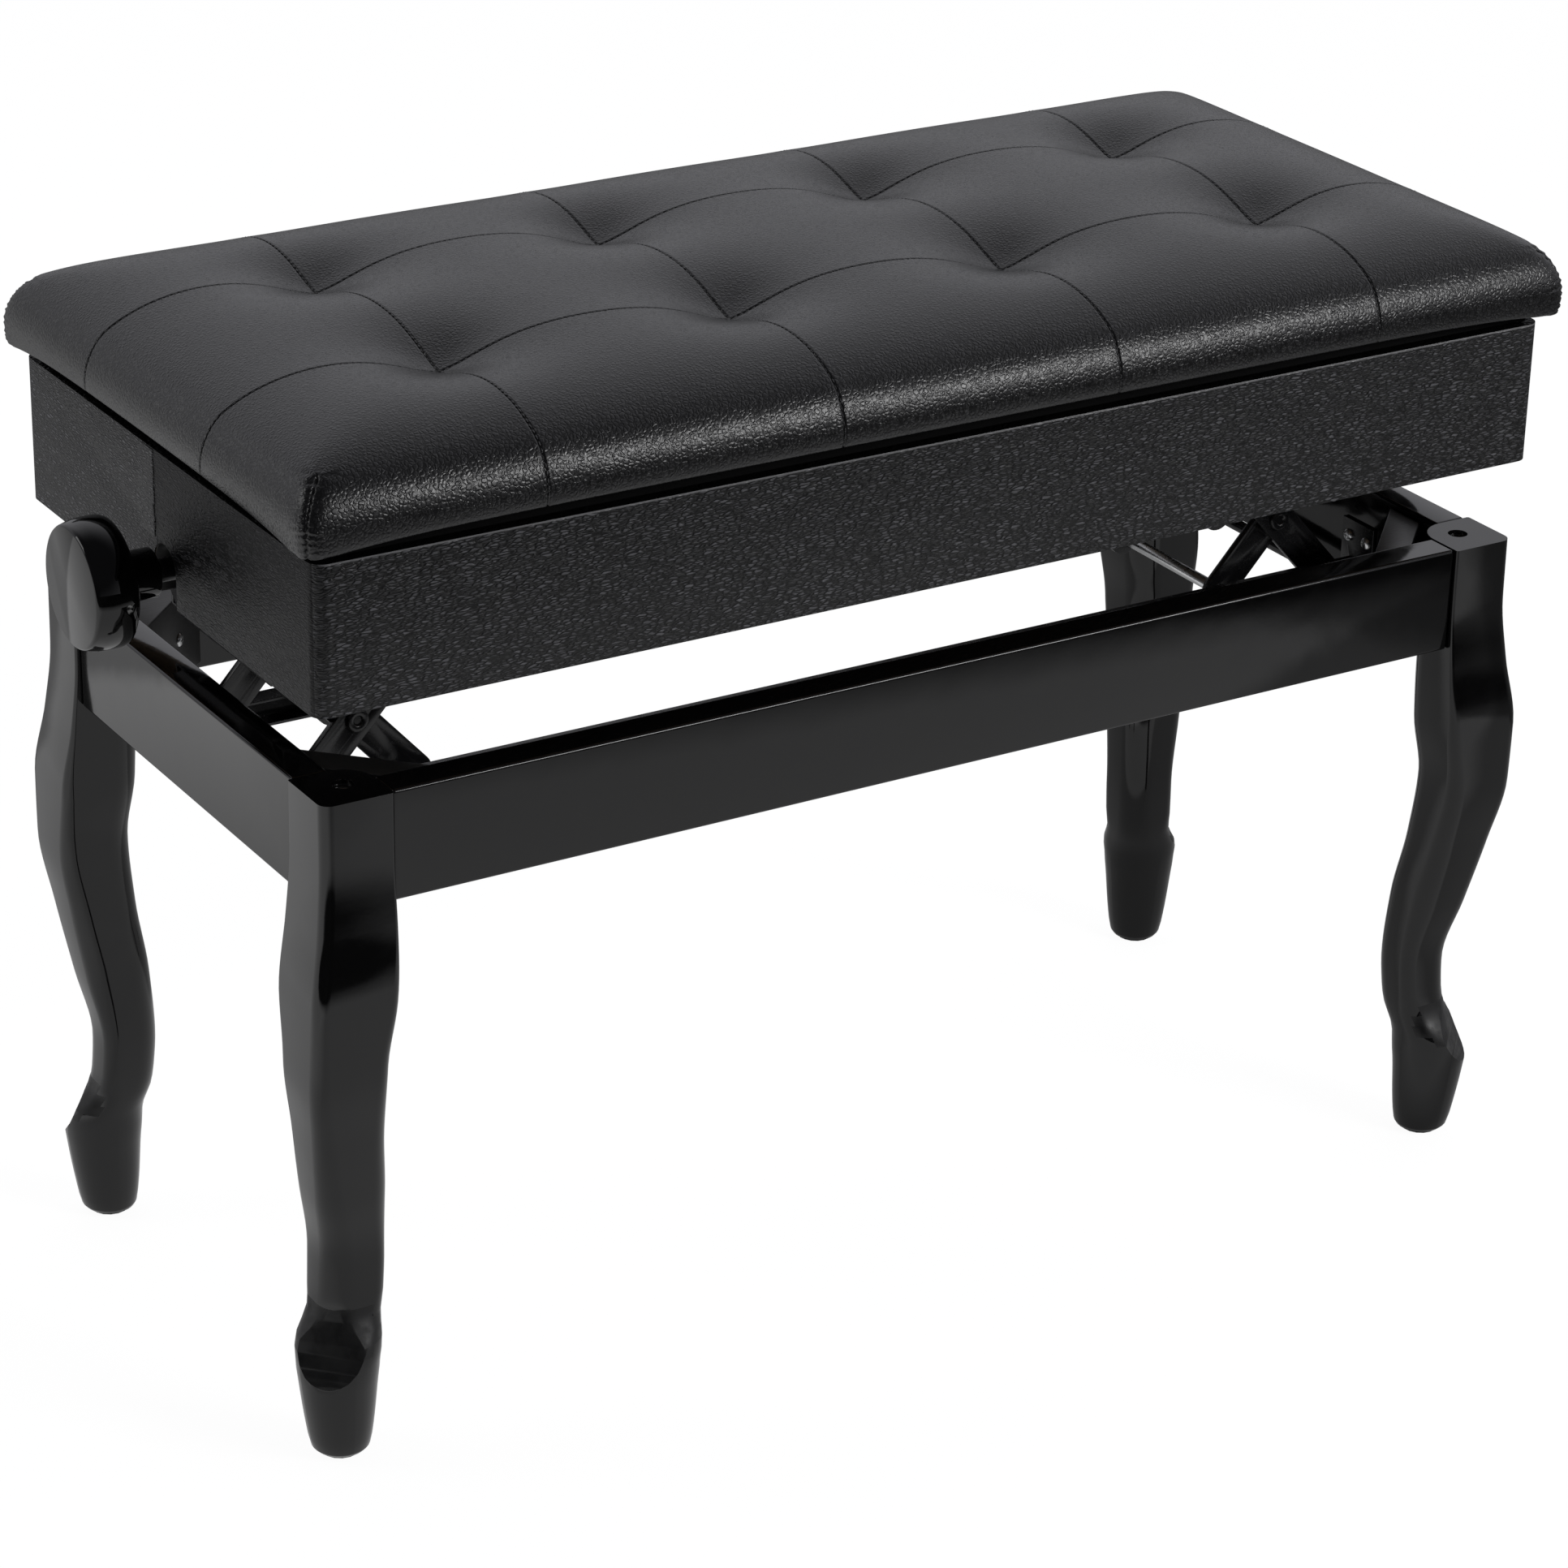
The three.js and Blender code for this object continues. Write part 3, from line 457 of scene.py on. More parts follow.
block_face = (315.3 * mm, 115.3 * mm)   # middle of a block's slanted face
block_screw_z = 345.8 * mm
block_screw_shift = 6 * mm              # to each side of the middle, along x and along y
driven_screws("corner_block_screws", "leg_frame", 3.8 * mm, 1.6 * mm,
              [((x * (block_face[0] - shift), y * (block_face[1] + shift), block_screw_z),
                (-x, -y, 0))
               for x, y in corners.values()
               for shift in (-block_screw_shift, block_screw_shift)])

# ---- Lift --------------------------------------------------------------------
# A scissor lift at each end: pressed steel rails and arms, painted satin black, that turn on
# shafts with riveted ends and slide on zinc-plated ones. One rod with a right-hand and a
# left-hand thread drives both through square nuts.


def paint_finish():
    """Stove paint over pressed steel: satin, slightly pebbled, with grey scuffs."""
    material, shader, place = coated("black_paint", (0.011, 0.011, 0.012), 0.32)
    scuff = spread(noise(place, 120, 8, 0.75), 0, 1, 0.56, 0.72)
    tint(shader, scuff, (0.008, 0.008, 0.009), (0.04, 0.04, 0.041))
    feed(shader, "Roughness", spread(scuff, 0.26, 0.5))
    relief(shader, noise(place, 1100, 2), 0.05 * mm, 0.5)
    return material


paint = paint_finish()
for end in ("left", "right"):
    eased(f"seat_end_plate_{end}", 0.4 * mm, paint, "black_steel")
    eased(f"lift_nut_{end}", 0.6 * mm, paint, "black_steel")
    for side in ("front", "back"):
        eased(f"base_arm_{end}_{side}", 0.5 * mm, paint, "black_steel")
        eased(f"seat_arm_{end}_{side}", 0.5 * mm, paint, "black_steel")
for side in ("front", "back"):
    eased(f"base_rail_{side}", 0.35 * mm, paint, "black_steel")
    eased(f"seat_rail_{side}", 0.35 * mm, paint, "black_steel")

rivet_dimple = (2.6 * mm, 1.3 * mm)     # radius and depth of the hollow in a riveted end


def riveted_shaft(node, radius, head_radius):
    """A shaft whose ends are spread over into round heads with a hollow in the middle."""
    low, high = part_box(node)
    half = (high.y - low.y) / 2
    under = half - 2 * mm
    round_off = 0.7 * mm
    hollow, depth = rivet_dimple
    end = [(radius, under), (head_radius, under), (head_radius, half - round_off),
           (head_radius - round_off * 0.3, half - round_off * 0.3),
           (head_radius - round_off, half), (hollow + 0.6 * mm, half),
           (hollow, half - 0.5 * mm), (hollow * 0.8, half - depth), (0, half - depth)]
    profile = [(r, -a) for r, a in reversed(end)] + end
    middle = ((low.x + high.x) / 2, 0, (low.z + high.z) / 2)
    piece = piece_from(turned(profile, (0, 1, 0), middle, 32), node + "_riveted", paint, 50)
    return belongs(piece, body_of[node], "black_steel", node)


shaft_radius = {"base_pivot": 3.5 * mm, "seat_pivot": 4 * mm, "middle": 3.5 * mm}
shaft_head = 6 * mm
for end in ("left", "right"):
    for kind, radius in shaft_radius.items():
        riveted_shaft(f"{kind}_shaft_{end}", radius, shaft_head)
    for kind in ("base", "seat"):
        eased(f"{kind}_slide_shaft_{end}", 0.5 * mm, zinc, "zinc_steel")

# screws through the rails' end tabs into the end aprons, and up through the upper rails'
# flanges and the end plates' into the box's floor
rail_screw = (3.6 * mm, 2.2 * mm)       # radius and height of the head
tab_face = 341.9 * mm
tab_screw_z = 344 * mm
tab_screws_y = (54 * mm, 70 * mm)
driven_screws("frame_rail_screws", "leg_frame", *rail_screw,
              [((x * tab_face, y * across, tab_screw_z), (-x, 0, 0))
               for x, y in corners.values() for across in tab_screws_y])
flange_under, plate_under = 454.9 * mm, 454.7 * mm
flange_screws_x = (55 * mm, 175 * mm, 305 * mm)
flange_screw_y = 76 * mm
plate_screw = (327 * mm, 20 * mm)
driven_screws("seat_rail_screws", "seat", *rail_screw,
              [((x * along, y * flange_screw_y, flange_under), (0, 0, -1))
               for x, y in corners.values() for along in flange_screws_x]
              + [((x * plate_screw[0], y * plate_screw[1], plate_under), (0, 0, -1))
                 for x, y in corners.values()])

rod_z = 441 * mm
rod_radius = 6 * mm
rod_end = 400.7 * mm
thread_root = 5 * mm
thread_pitch = 4 * mm
thread_start, thread_stop = 196 * mm, 328 * mm
thread_run_out = 1 * mm
collar_start, collar_stop = 330.7 * mm, 336.7 * mm
collar_radius = 9 * mm
half_rod = [(rod_radius, thread_start), (thread_root, thread_start + thread_run_out),
            (thread_root, thread_stop - thread_run_out), (rod_radius, thread_stop),
            (rod_radius, collar_start), (collar_radius, collar_start),
            (collar_radius, collar_stop), (rod_radius, collar_stop), (rod_radius, rod_end),
            (0, rod_end)]
rod = turned([(r, -a) for r, a in reversed(half_rod)] + half_rod, (1, 0, 0), (0, 0, rod_z), 32)
turn_steps = 24
turns = int((thread_stop - thread_start) / thread_pitch) - 1
ridge_foot = thread_root - 0.2 * mm
ridge = [(-0.36, ridge_foot), (-0.17, rod_radius), (0.17, rod_radius), (0.36, ridge_foot)]
for x in (-1, 1):
    bm = bmesh.new()
    start = x * (thread_start + 0.6 * thread_pitch)
    verts = [bm.verts.new((start + along * thread_pitch, radius, rod_z))
             for along, radius in ridge]
    edges = [bm.edges.new(pair) for pair in zip(verts, verts[1:] + verts[:1])]
    bmesh.ops.spin(bm, geom=verts + edges, axis=(1, 0, 0), cent=(0, 0, rod_z),
                   dvec=(x * thread_pitch / turn_steps, 0, 0), angle=2 * math.pi * turns,
                   steps=turns * turn_steps)
    bmesh.ops.holes_fill(bm, edges=bm.edges, sides=4)
    bmesh.ops.recalc_face_normals(bm, faces=bm.faces)
    thread = bpy.data.meshes.new("thread")
    bm.to_mesh(thread)
    bm.free()
    rod.from_mesh(thread)
    bpy.data.meshes.remove(thread)
belongs(piece_from(rod, "adjuster_rod_threaded", paint, 35), "adjuster", "black_steel",
        "adjuster_rod")

# ---- Knobs -------------------------------------------------------------------
# Moulded gloss black knobs on both ends of the rod: a wide disc with a flat face and a narrow
# rounded rim, dished behind, on a hub that a small screw clamps to the rod.

knob_gloss = lacquer_finish("black_knob", (0.002, 0.002, 0.002), 0.03)
knob_back = 397 * mm
# radius, and distance outwards from the back of the disc, in millimetres
knob_profile = [(6.3, 4), (6.3, -20), (12, -20), (12.7, -19.8), (13, -19), (13, -3),
                (13.6, -1.2), (15, 0), (28, 0), (30.6, 0.4), (32.6, 1.7), (33.6, 3.6), (34, 6),
                (34, 12), (33.5, 17), (32.3, 21.2), (32.0, 22.4), (31.4, 23.4), (30.4, 24),
                (0, 24)]
for end, x in (("left", -1), ("right", 1)):
    bm = turned([(r * mm, a * mm) for r, a in knob_profile], (x, 0, 0),
                (x * knob_back, 0, rod_z), 128)
    bmesh.ops.holes_fill(bm, edges=bm.edges, sides=0)
    belongs(piece_from(bm, f"knob_{end}_turned", knob_gloss, 50), "adjuster", "knob",
            f"knob_{end}")

# ---- Seat box ----------------------------------------------------------------
# Four panels round a floor board, covered with a coarse embossed leatherette that is glued
# on, lapped at one end beside the rod's notch, and turned in over the top edge.

box_half = (370 * mm, 170 * mm)
box_top = 502.6 * mm
notch_half = 15 * mm
notch_bottom = 425 * mm
for side in ("front", "back", "left", "right"):
    panel = eased(f"box_{side}", 0.5 * mm, board, "board")
    if side in ("left", "right"):
        # the edge of the rod's notch is blacked before the cover goes on
        panel.data.materials.append(block_paint)
        for face in panel.data.polygons:
            in_notch = abs(face.center.y) < notch_half and face.center.z > notch_bottom
            face.material_index = int(in_notch and abs(face.normal.x) < 0.5)
eased("box_floor", 0.5 * mm, board, "board")

lap_y = 9 * mm


def calc(first, second, operation="MULTIPLY"):
    """The product of two numbers, or what another operation makes of them."""
    return wire(first, "Math", {0: first, 1: second}, operation=operation)[0]


def grained(place, warp, warp_scale, scale, crease, least):
    """Pressed grains between creases, as a height from 0 to 1; the lowest reach least."""
    bend = wire(place, "TexNoise", {"Vector": place, "Scale": warp_scale, "Detail": 2})[1]
    bent = wire(place, "Mix", {0: warp, 4: place, 5: bend}, data_type="VECTOR")[1]
    cells = {"Vector": bent, "Scale": scale}
    inwards = wire(place, "TexVoronoi", cells, feature="DISTANCE_TO_EDGE")[0]
    grain = wire(place, "MapRange", {0: inwards, 1: 0.0, 2: crease, 3: 0.0, 4: 1.0},
                 interpolation_type="SMOOTHSTEP")[0]
    chance = wire(place, "TexVoronoi", cells)["Color"]
    return calc(grain, spread(chance, least, 1.0, 0.1, 0.9))


def box_cover_finish():
    """Embossed leatherette: flat stretched grains, matt, the grain tops painted pale as
    highlights and the creases painted dark as shade.
    """
    material, shader, place = coated("box_leatherette", (0.018, 0.018, 0.0188), 0.5,
                                     Specular_IOR_Level=0.3)
    at = wire(place, "SeparateXYZ", {0: place})
    place = scaled(place, (0.6, 0.6, 2.2))
    grain = grained(place, 0.0025, 200, 360, 0.28, 0.25)
    patch = noise(place, 24, 5, 0.6)
    # painted shade: of the two lengths of cover that meet at the lap, the one from the front
    # is painted dimmer there and given less shine
    painted_shade_front = calc(calc(at["Y"], lap_y, "LESS_THAN"),
                  calc(at["X"], 1 * mm - box_half[0], "LESS_THAN"))
    tone = calc(grain, spread(painted_shade_front, 1.0, 0.45))
    # stretched smooth and shiny over the front's top edge, which is also painted pale as a
    # highlight; the rim's top is painted near black and dull, as the shade in the gap under
    # the cushion
    in_front = spread(at["Y"], 1.0, 0.0, 0.5 * mm - box_half[1], 2.5 * mm - box_half[1])
    edge = calc(spread(at["Z"], 0.0, 1.0, box_top - 1.4 * mm, box_top - 0.7 * mm), in_front)
    painted_gap_shade = spread(at["Z"], 0.0, 1.0, box_top - 0.25 * mm, box_top - 0.1 * mm)
    # painted highlights and shade on the grain: the grain tops are painted pale and the
    # creases dark
    painted_grain_glint = calc(tone, 2.0, "POWER")
    covered = blended(painted_grain_glint, (0.003, 0.003, 0.0033), (0.15, 0.15, 0.16))
    # painted highlight on the front's top edge, then painted shade on the rim's top
    painted_edge_highlight = blended(spread(edge, 0.0, 0.8), covered, (0.25, 0.25, 0.255))
    tint(shader, painted_gap_shade, painted_edge_highlight, (0.003, 0.003, 0.003))
    shine = between(edge, spread(painted_shade_front, 0.4, 0.16), 0.9)
    feed(shader, "Specular IOR Level", between(painted_gap_shade, shine, 0.05))
    feed(shader, "Roughness", between(edge, spread(patch, 0.36, 0.5), 0.3))
    fine = relief(shader, noise(place, 1700, 3), 0.04 * mm, 0.5)
    relief(shader, tone, 0.75 * mm, spread(edge, 1.0, 0.1), fine)
    return material


box_leatherette = box_cover_finish()
eased("box_wrap", 0.25 * mm, box_leatherette, "box_cover")


def rounded_ring(half_x, half_y, radius, z, steps=8):
    """Points of a rounded rectangle at one height."""
    points = []
    for quarter, (x, y) in enumerate(((1, 1), (-1, 1), (-1, -1), (1, -1))):
        for step in range(steps + 1):
            angle = (quarter + step / steps) * math.pi / 2
            points.append(Vector((x * (half_x - radius) + radius * math.cos(angle),
                                  y * (half_y - radius) + radius * math.sin(angle), z)))
    return points


# the turned-in edge: over the panels' tops and down inside, left out behind the hinge; its
# section is given outwards from the box's side and up from its top, in millimetres
hem = [(0.02, -1.6), (-0.1, -0.7), (-0.5, -0.15), (-1.2, 0.05), (-12.6, 0.05), (-13.4, -0.2),
       (-13.7, -0.9), (-13.7, -13), (-12.8, -13), (-12.8, -2), (-1.0, -2)]
box_corner, tightest_corner = 8 * mm, 1.2 * mm
rings = [rounded_ring(box_half[0] + out * mm, box_half[1] + out * mm,
                      max(box_corner + out * mm, tightest_corner), box_top + up * mm)
         for out, up in hem]
bm = loft(rings + rings[:1])
hinge_half = 331 * mm                   # half of the length left out for the hinge
hinge_front = 120 * mm
for x in (-1, 1):
    bmesh.ops.bisect_plane(bm, geom=bm.verts[:] + bm.edges[:] + bm.faces[:],
                           plane_co=(x * hinge_half, 0, 0), plane_no=(1, 0, 0), dist=1e-7)
behind = [face for face in bm.faces
          if face.calc_center_median().y > hinge_front
          and abs(face.calc_center_median().x) < hinge_half - 0.1 * mm]
bmesh.ops.delete(bm, geom=behind, context="FACES")
bmesh.ops.holes_fill(bm, edges=bm.edges, sides=0)
bmesh.ops.recalc_face_normals(bm, faces=bm.faces)
belongs(piece_from(bm, "box_cover_hem", box_leatherette, 40), "seat", "box_cover")


def thickened(piece, thickness, offset=-1):
    wall = piece.modifiers.new("Thickness", "SOLIDIFY")
    wall.thickness = thickness
    wall.offset = offset


# the lap on the left end: the back length of the cover glued over the front one, its edge cut
# by hand and so a little wavy
lap_width = 20 * mm
lap_low, lap_high = 455.5 * mm, 501.9 * mm
lap_proud = 0.55 * mm
bm = bmesh.new()
bmesh.ops.create_grid(bm, x_segments=24, y_segments=40, size=1)
for vert in bm.verts:
    across, up = (vert.co.x + 1) / 2, (vert.co.y + 1) / 2
    waver = 0.35 * mm * math.sin(21 * up + 1.3) + 0.2 * mm * math.sin(57 * up)
    rise = lap_proud * (min(1, across / 0.06) ** 0.5) * (1 - across) ** 0.7
    vert.co = (-box_half[0] - rise + 0.05 * mm,
               lap_y + across * lap_width + waver * (1 - across),
               lap_low + up * (lap_high - lap_low))
bmesh.ops.recalc_face_normals(bm, faces=bm.faces)
if sum(face.normal.x for face in bm.faces) > 0:
    bmesh.ops.reverse_faces(bm, faces=bm.faces)
lap = piece_from(bm, "box_cover_lap", box_leatherette)
thickened(lap, 0.3 * mm)
belongs(lap, "seat", "box_cover")

# ---- Hinge -------------------------------------------------------------------
# A plated piano hinge along the back: two rolled leaves on one pin, let into the box and the
# lid, and held by small countersunk screws.

for node in ("hinge_leaf_box", "hinge_leaf_lid", "hinge_pin"):
    eased(node, 0.15 * mm, zinc, "zinc_steel")

lid_bottom = 502.9 * mm
leaf_screw_apart = 78 * mm
leaf_screw_y = 163.5 * mm
for name, body, z, up in (("box", "seat", box_top, 1), ("lid", "lid", lid_bottom, -1)):
    driven_screws(f"hinge_screws_{name}", body, 2.8 * mm, 0.12 * mm,
                  [((i * leaf_screw_apart, leaf_screw_y, z), (0, 0, up))
                   for i in range(-4, 5)])

# ---- Lid ---------------------------------------------------------------------
# A board under the cushion. The cover is drawn round its edge and stapled underneath, and a
# black non-woven cloth closes the underside.


def seat_cover_finish():
    """Soft leatherette: small pebbles, lighter on their tops, with painted shade in the
    creases between them.
    """
    material, shader, place = coated("seat_leatherette", (0.012, 0.012, 0.0128), 0.4)
    pebble = grained(place, 0.0016, 400, 430, 0.3, 0.6)
    # the creases between the pebbles are painted dark, as shade
    tint(shader, pebble, (0.005, 0.005, 0.0054), (0.021, 0.021, 0.0225))
    cloud = noise(place, 11, 5, 0.6)
    feed(shader, "Roughness", spread(cloud, 0.24, 0.31))
    fine = relief(shader, noise(place, 2600, 2), 0.015 * mm, 0.4)
    relief(shader, pebble, 0.13 * mm, 1.0, fine)
    return material


def board_wrap_finish():
    """The cover's fabric backing, turned in round the lid board: black and dull."""
    material, shader, place = coated("cover_backing", (0.004, 0.004, 0.004), 0.9,
                                     Specular_IOR_Level=0.12)
    weave = noise(place, 1100, 4, 0.7)
    tint(shader, weave, (0.002, 0.002, 0.002), (0.008, 0.008, 0.008))
    relief(shader, weave, 0.08 * mm, 0.6)
    return material


def lining_finish():
    """Black non-woven cloth: pressed fibres, matt, with a grid of bonded points."""
    material, shader, place = coated("dust_cloth", (0.014, 0.014, 0.015), 0.9)
    fibre = noise(scaled(place, (1, 2.5, 1)), 900, 6, 0.7)
    point = wire(place, "TexVoronoi", {"Vector": place, "Scale": 550,
                                       "Randomness": 0.15})["Distance"]
    point = spread(point, 0.0, 1.0, 0.15, 0.3)
    tint(shader, fibre, (0.008, 0.008, 0.0085), (0.026, 0.026, 0.028))
    fine = relief(shader, fibre, 0.06 * mm, 0.7)
    relief(shader, point, 0.08 * mm, 0.6, fine)
    return material


seat_leatherette = seat_cover_finish()
lid_wrap = board_wrap_finish()
lid_board = eased("lid_board", 0.6 * mm, lid_wrap, "seat_cover", 3)

lining_half = (348 * mm, 148 * mm)
lining_gap = 0.04 * mm                  # between the board and the lining's edge
lining_sag = 0.16 * mm                  # how much lower the lining hangs further in
bm = bmesh.new()
bmesh.ops.create_grid(bm, x_segments=140, y_segments=60, size=1)
for vert in bm.verts:
    x, y = vert.co.x * lining_half[0], vert.co.y * lining_half[1]
    edge = min(lining_half[0] - abs(x), lining_half[1] - abs(y))
    # drawn flat by the staples at the edge, a little slack further in
    slack = lining_sag * (1 - math.exp(-(edge / (25 * mm)) ** 2))
    slack *= 0.6 + 0.4 * math.sin(x / (31 * mm)) * math.cos(y / (23 * mm))
    vert.co = (x, y, lid_bottom - lining_gap - slack)
bmesh.ops.reverse_faces(bm, faces=bm.faces)
lining = piece_from(bm, "lid_lining", lining_finish())
thickened(lining, 0.2 * mm, 1)
belongs(lining, "lid", "seat_cover")

# staples along the lining's edge: flat wire with its ends bent into the board, each askew
staple_half = (5 * mm, 0.6 * mm)
staple_bend = 0.5 * mm
staple_inset = 7 * mm
staple_apart = 58 * mm
staple_z = lid_bottom - 0.26 * mm
askew = 0.1
bm = bmesh.new()
bmesh.ops.create_grid(bm, x_segments=8, y_segments=1, size=1)
for vert in bm.verts:
    down = -staple_bend * max(0, (abs(vert.co.x) - 0.8) / 0.2) ** 2
    vert.co = (vert.co.x * staple_half[0], vert.co.y * staple_half[1], down)
bmesh.ops.solidify(bm, geom=bm.faces[:], thickness=0.12 * mm)
bmesh.ops.recalc_face_normals(bm, faces=bm.faces)
staple = piece_from(bm, "staple")
row_x, row_y = (half - staple_inset for half in lining_half)
places = []
for side in (-1, 1):
    for reach, line, quarter in ((row_x, row_y, 0), (row_y, row_x, math.pi / 2)):
        count = round(2 * reach / staple_apart)
        for i in range(count):
            along = -reach + 2 * reach * (i + 0.5) / count
            spot = (along, side * line) if quarter == 0 else (side * line, along)
            lie = (Matrix.Rotation(math.pi, 4, "X")
                   @ Matrix.Rotation(quarter + askew * math.sin(5 * i + side), 4, "Z"))
            places.append(Matrix.Translation((*spot, staple_z)) @ lie)
belongs(repeated(staple, places, "lid_staples", zinc), "lid", "zinc_steel")

# ---- Cushion -----------------------------------------------------------------
# Foam under leatherette in fifteen panels. Four seams cross it and two run along it; where
# they meet, the cover is pulled down into eight tufts. The border turns down over a soft roll
# to a lip under the lid board's edge, with a mitre seam at each corner.

outline_half = (380 * mm, 180 * mm)
sheet_inset = 15 * mm                   # the top sheet's edge, in from the outline
sheet_half = (outline_half[0] - sheet_inset, outline_half[1] - sheet_inset)
corner_zone = 30 * mm
sheet_corner, outline_corner = 5 * mm, 10 * mm
cross_seams = [-250 * mm, -83.3 * mm, 83.3 * mm, 250 * mm]
long_seams = [-68 * mm, 68 * mm]
widest_z = 521 * mm
roll_rise = 15 * mm                     # the roll's height over the widest line
roll_run = 12 * mm                      # the roll's width in plan
dome_rise = 32 * mm                     # the padding's crown over the roll
dome_run = 31 * mm
tuft_depth = 18 * mm
tuft_reach = 36 * mm
seam_dip = 2.2 * mm
seam_reach = 11 * mm
lip_corner_z = 508.2 * mm
lip_rise = {"long": 5 * mm, "short": 7 * mm}
lip_start, lip_run = 12 * mm, 38 * mm   # from the corner, and how soon the lip is up


def seam_lines(half, seams, step):
    """Places of the sheet's grid lines: close together at the seams and at the edges."""
    inwards = [0, 0.7, 2.2, 4.6, 7.6, 11.2, 15.4, 20.2, 25.6]
    places = {round(s + k * d * mm, 7) for s in seams for d in inwards[:3] for k in (-1, 1)}
    places |= {round(k * (half - d * mm), 7) for d in inwards for k in (-1, 1)}
    firm = sorted(places)
    for low, high in zip(firm, firm[1:]):
        count = round((high - low) / step)
        for i in range(1, count):
            places.add(low + (high - low) * i / count)
    return sorted(places)


def soft_least(a, b, power=4):
    a, b = max(a, 1e-6), max(b, 1e-6)
    return (a ** -power + b ** -power) ** (-1 / power)


def crown(inset):
    """Height over the widest line, by the distance in from the outline."""
    inset = max(inset, 0)
    turn = 1 - min(1, inset / roll_run)
    roll = roll_rise * math.sqrt(1 - turn * turn)
    return roll + dome_rise * (1 - math.exp(-inset / dome_run))


def in_plan(x, y, out=0.0):
    """Where a point of the flat sheet lies in plan; out moves its edge to the outline."""
    core = (sheet_half[0] - corner_zone, sheet_half[1] - corner_zone)
    qx, qy = abs(x) - core[0], abs(y) - core[1]
    sx, sy = math.copysign(1, x), math.copysign(1, y)
    edge_x = abs(x) > sheet_half[0] - 1e-7
    edge_y = abs(y) > sheet_half[1] - 1e-7
    if qx <= 0 or qy <= 0:
        return (x + (sx * out if edge_x else 0), y + (sy * out if edge_y else 0))
    reach = max(qx, qy)
    share = min(qx, qy) / reach
    size = reach + out
    if out or edge_x or edge_y:
        radius = sheet_corner + (outline_corner - sheet_corner) * max(out, 0) / sheet_inset
    else:
        radius = sheet_corner * (reach / corner_zone) ** 2
    straight = size - radius
    along = share * (straight + radius * math.pi / 4)
    if along <= straight:
        a, b = size, along
    else:
        angle = (along - straight) / radius
        a, b = straight + radius * math.cos(angle), straight + radius * math.sin(angle)
    if qy > qx:
        a, b = b, a
    return sx * (core[0] + a), sy * (core[1] + b)


def tuft_pull(x, y):
    return sum(math.exp(-(math.hypot(x - sx, y - sy) / tuft_reach) ** 1.5)
               for sx in cross_seams for sy in long_seams)


def to_seam(x, y):
    return min(*(abs(x - s) for s in cross_seams), *(abs(y - s) for s in long_seams))


def seam_pull(x, y):
    """How strongly the nearest seam holds the cover down, 0 to 1."""
    return math.exp(-(to_seam(x, y) / seam_reach) ** 1.2)


def lip_z(x, y):
    """The lip hangs lowest at the corners and is drawn up along the sides."""
    to_end, to_side = outline_half[0] - abs(x), outline_half[1] - abs(y)
    side, run = ("long", to_end) if to_side < to_end else ("short", to_side)
    return lip_corner_z + lip_rise[side] * (1 - math.exp(-max(0, run - lip_start) / lip_run))


# border rows: how far out from the sheet's edge in millimetres, row 0 being that edge, and
# below the widest line also the share of the drop from there to the lip
roll_out = [0, 2.4, 4.7, 6.9, 9.0, 10.9, 12.5, 13.7, 14.5, 14.9, 15.0]
tuck = [(15.0, 0.2), (14.95, 0.42), (14.8, 0.64), (14.4, 0.84), (13.6, 0.96), (12.0, 1.0),
        (6.0, 0.97), (0.0, 0.95), (-0.4, 0.8)]
lid_top = 515.2 * mm
last_row = len(roll_out) - 1 + len(tuck)


def cushion_point(x, y, row, slack=0.0):
    """A point of the cover; slack lowers the panels, to be filled out by the padding."""
    if row < len(roll_out):
        out = roll_out[row] * mm
        px, py = in_plan(x, y, out)
        up = crown(soft_least(sheet_inset - out + sheet_half[0] - abs(x),
                              sheet_inset - out + sheet_half[1] - abs(y)))
        share = up / (roll_rise + dome_rise)
        held = seam_pull(x, y)
        up -= tuft_depth * tuft_pull(px, py) * share
        up -= seam_dip * held * share
        up -= slack * share * (1 - held)
        return Vector((px, py, widest_z + up))
    out, share = tuck[row - len(roll_out)]
    px, py = in_plan(x, y, out * mm)
    if row == last_row:
        return Vector((px, py, lid_top))
    return Vector((px, py, widest_z + (lip_z(px, py) - widest_z) * share))


grid_step = 6.2 * mm
lines_x = seam_lines(sheet_half[0], cross_seams, grid_step)
lines_y = seam_lines(sheet_half[1], long_seams, grid_step)
panel_slack = 2.5 * mm
bm = bmesh.new()
flat = bm.verts.layers.float_vector.new("flat")
bmesh.ops.create_grid(bm, x_segments=len(lines_x) - 1, y_segments=len(lines_y) - 1, size=1)
for vert in bm.verts:
    column = round((vert.co.x + 1) / 2 * (len(lines_x) - 1))
    row = round((vert.co.y + 1) / 2 * (len(lines_y) - 1))
    vert[flat] = (lines_x[column], lines_y[row], 0)
for row in range(1, last_row + 1):
    rim = [edge for edge in bm.edges if edge.is_boundary]
    grown = bmesh.ops.extrude_edge_only(bm, edges=rim)["geom"]
    for vert in grown:
        if isinstance(vert, bmesh.types.BMVert):
            vert[flat].z = row
for vert in bm.verts:
    x, y, row = vert[flat]
    vert.co = cushion_point(x, y, round(row), panel_slack)
bmesh.ops.recalc_face_normals(bm, faces=bm.faces)
cushion = piece_from(bm, "cushion_cover", seat_leatherette)


def numbers(items, field):
    """Every item's vector in one list."""
    values = [0.0] * (3 * len(items))
    items.foreach_get(field, values)
    return [Vector(values[i:i + 3]) for i in range(0, len(values), 3)]


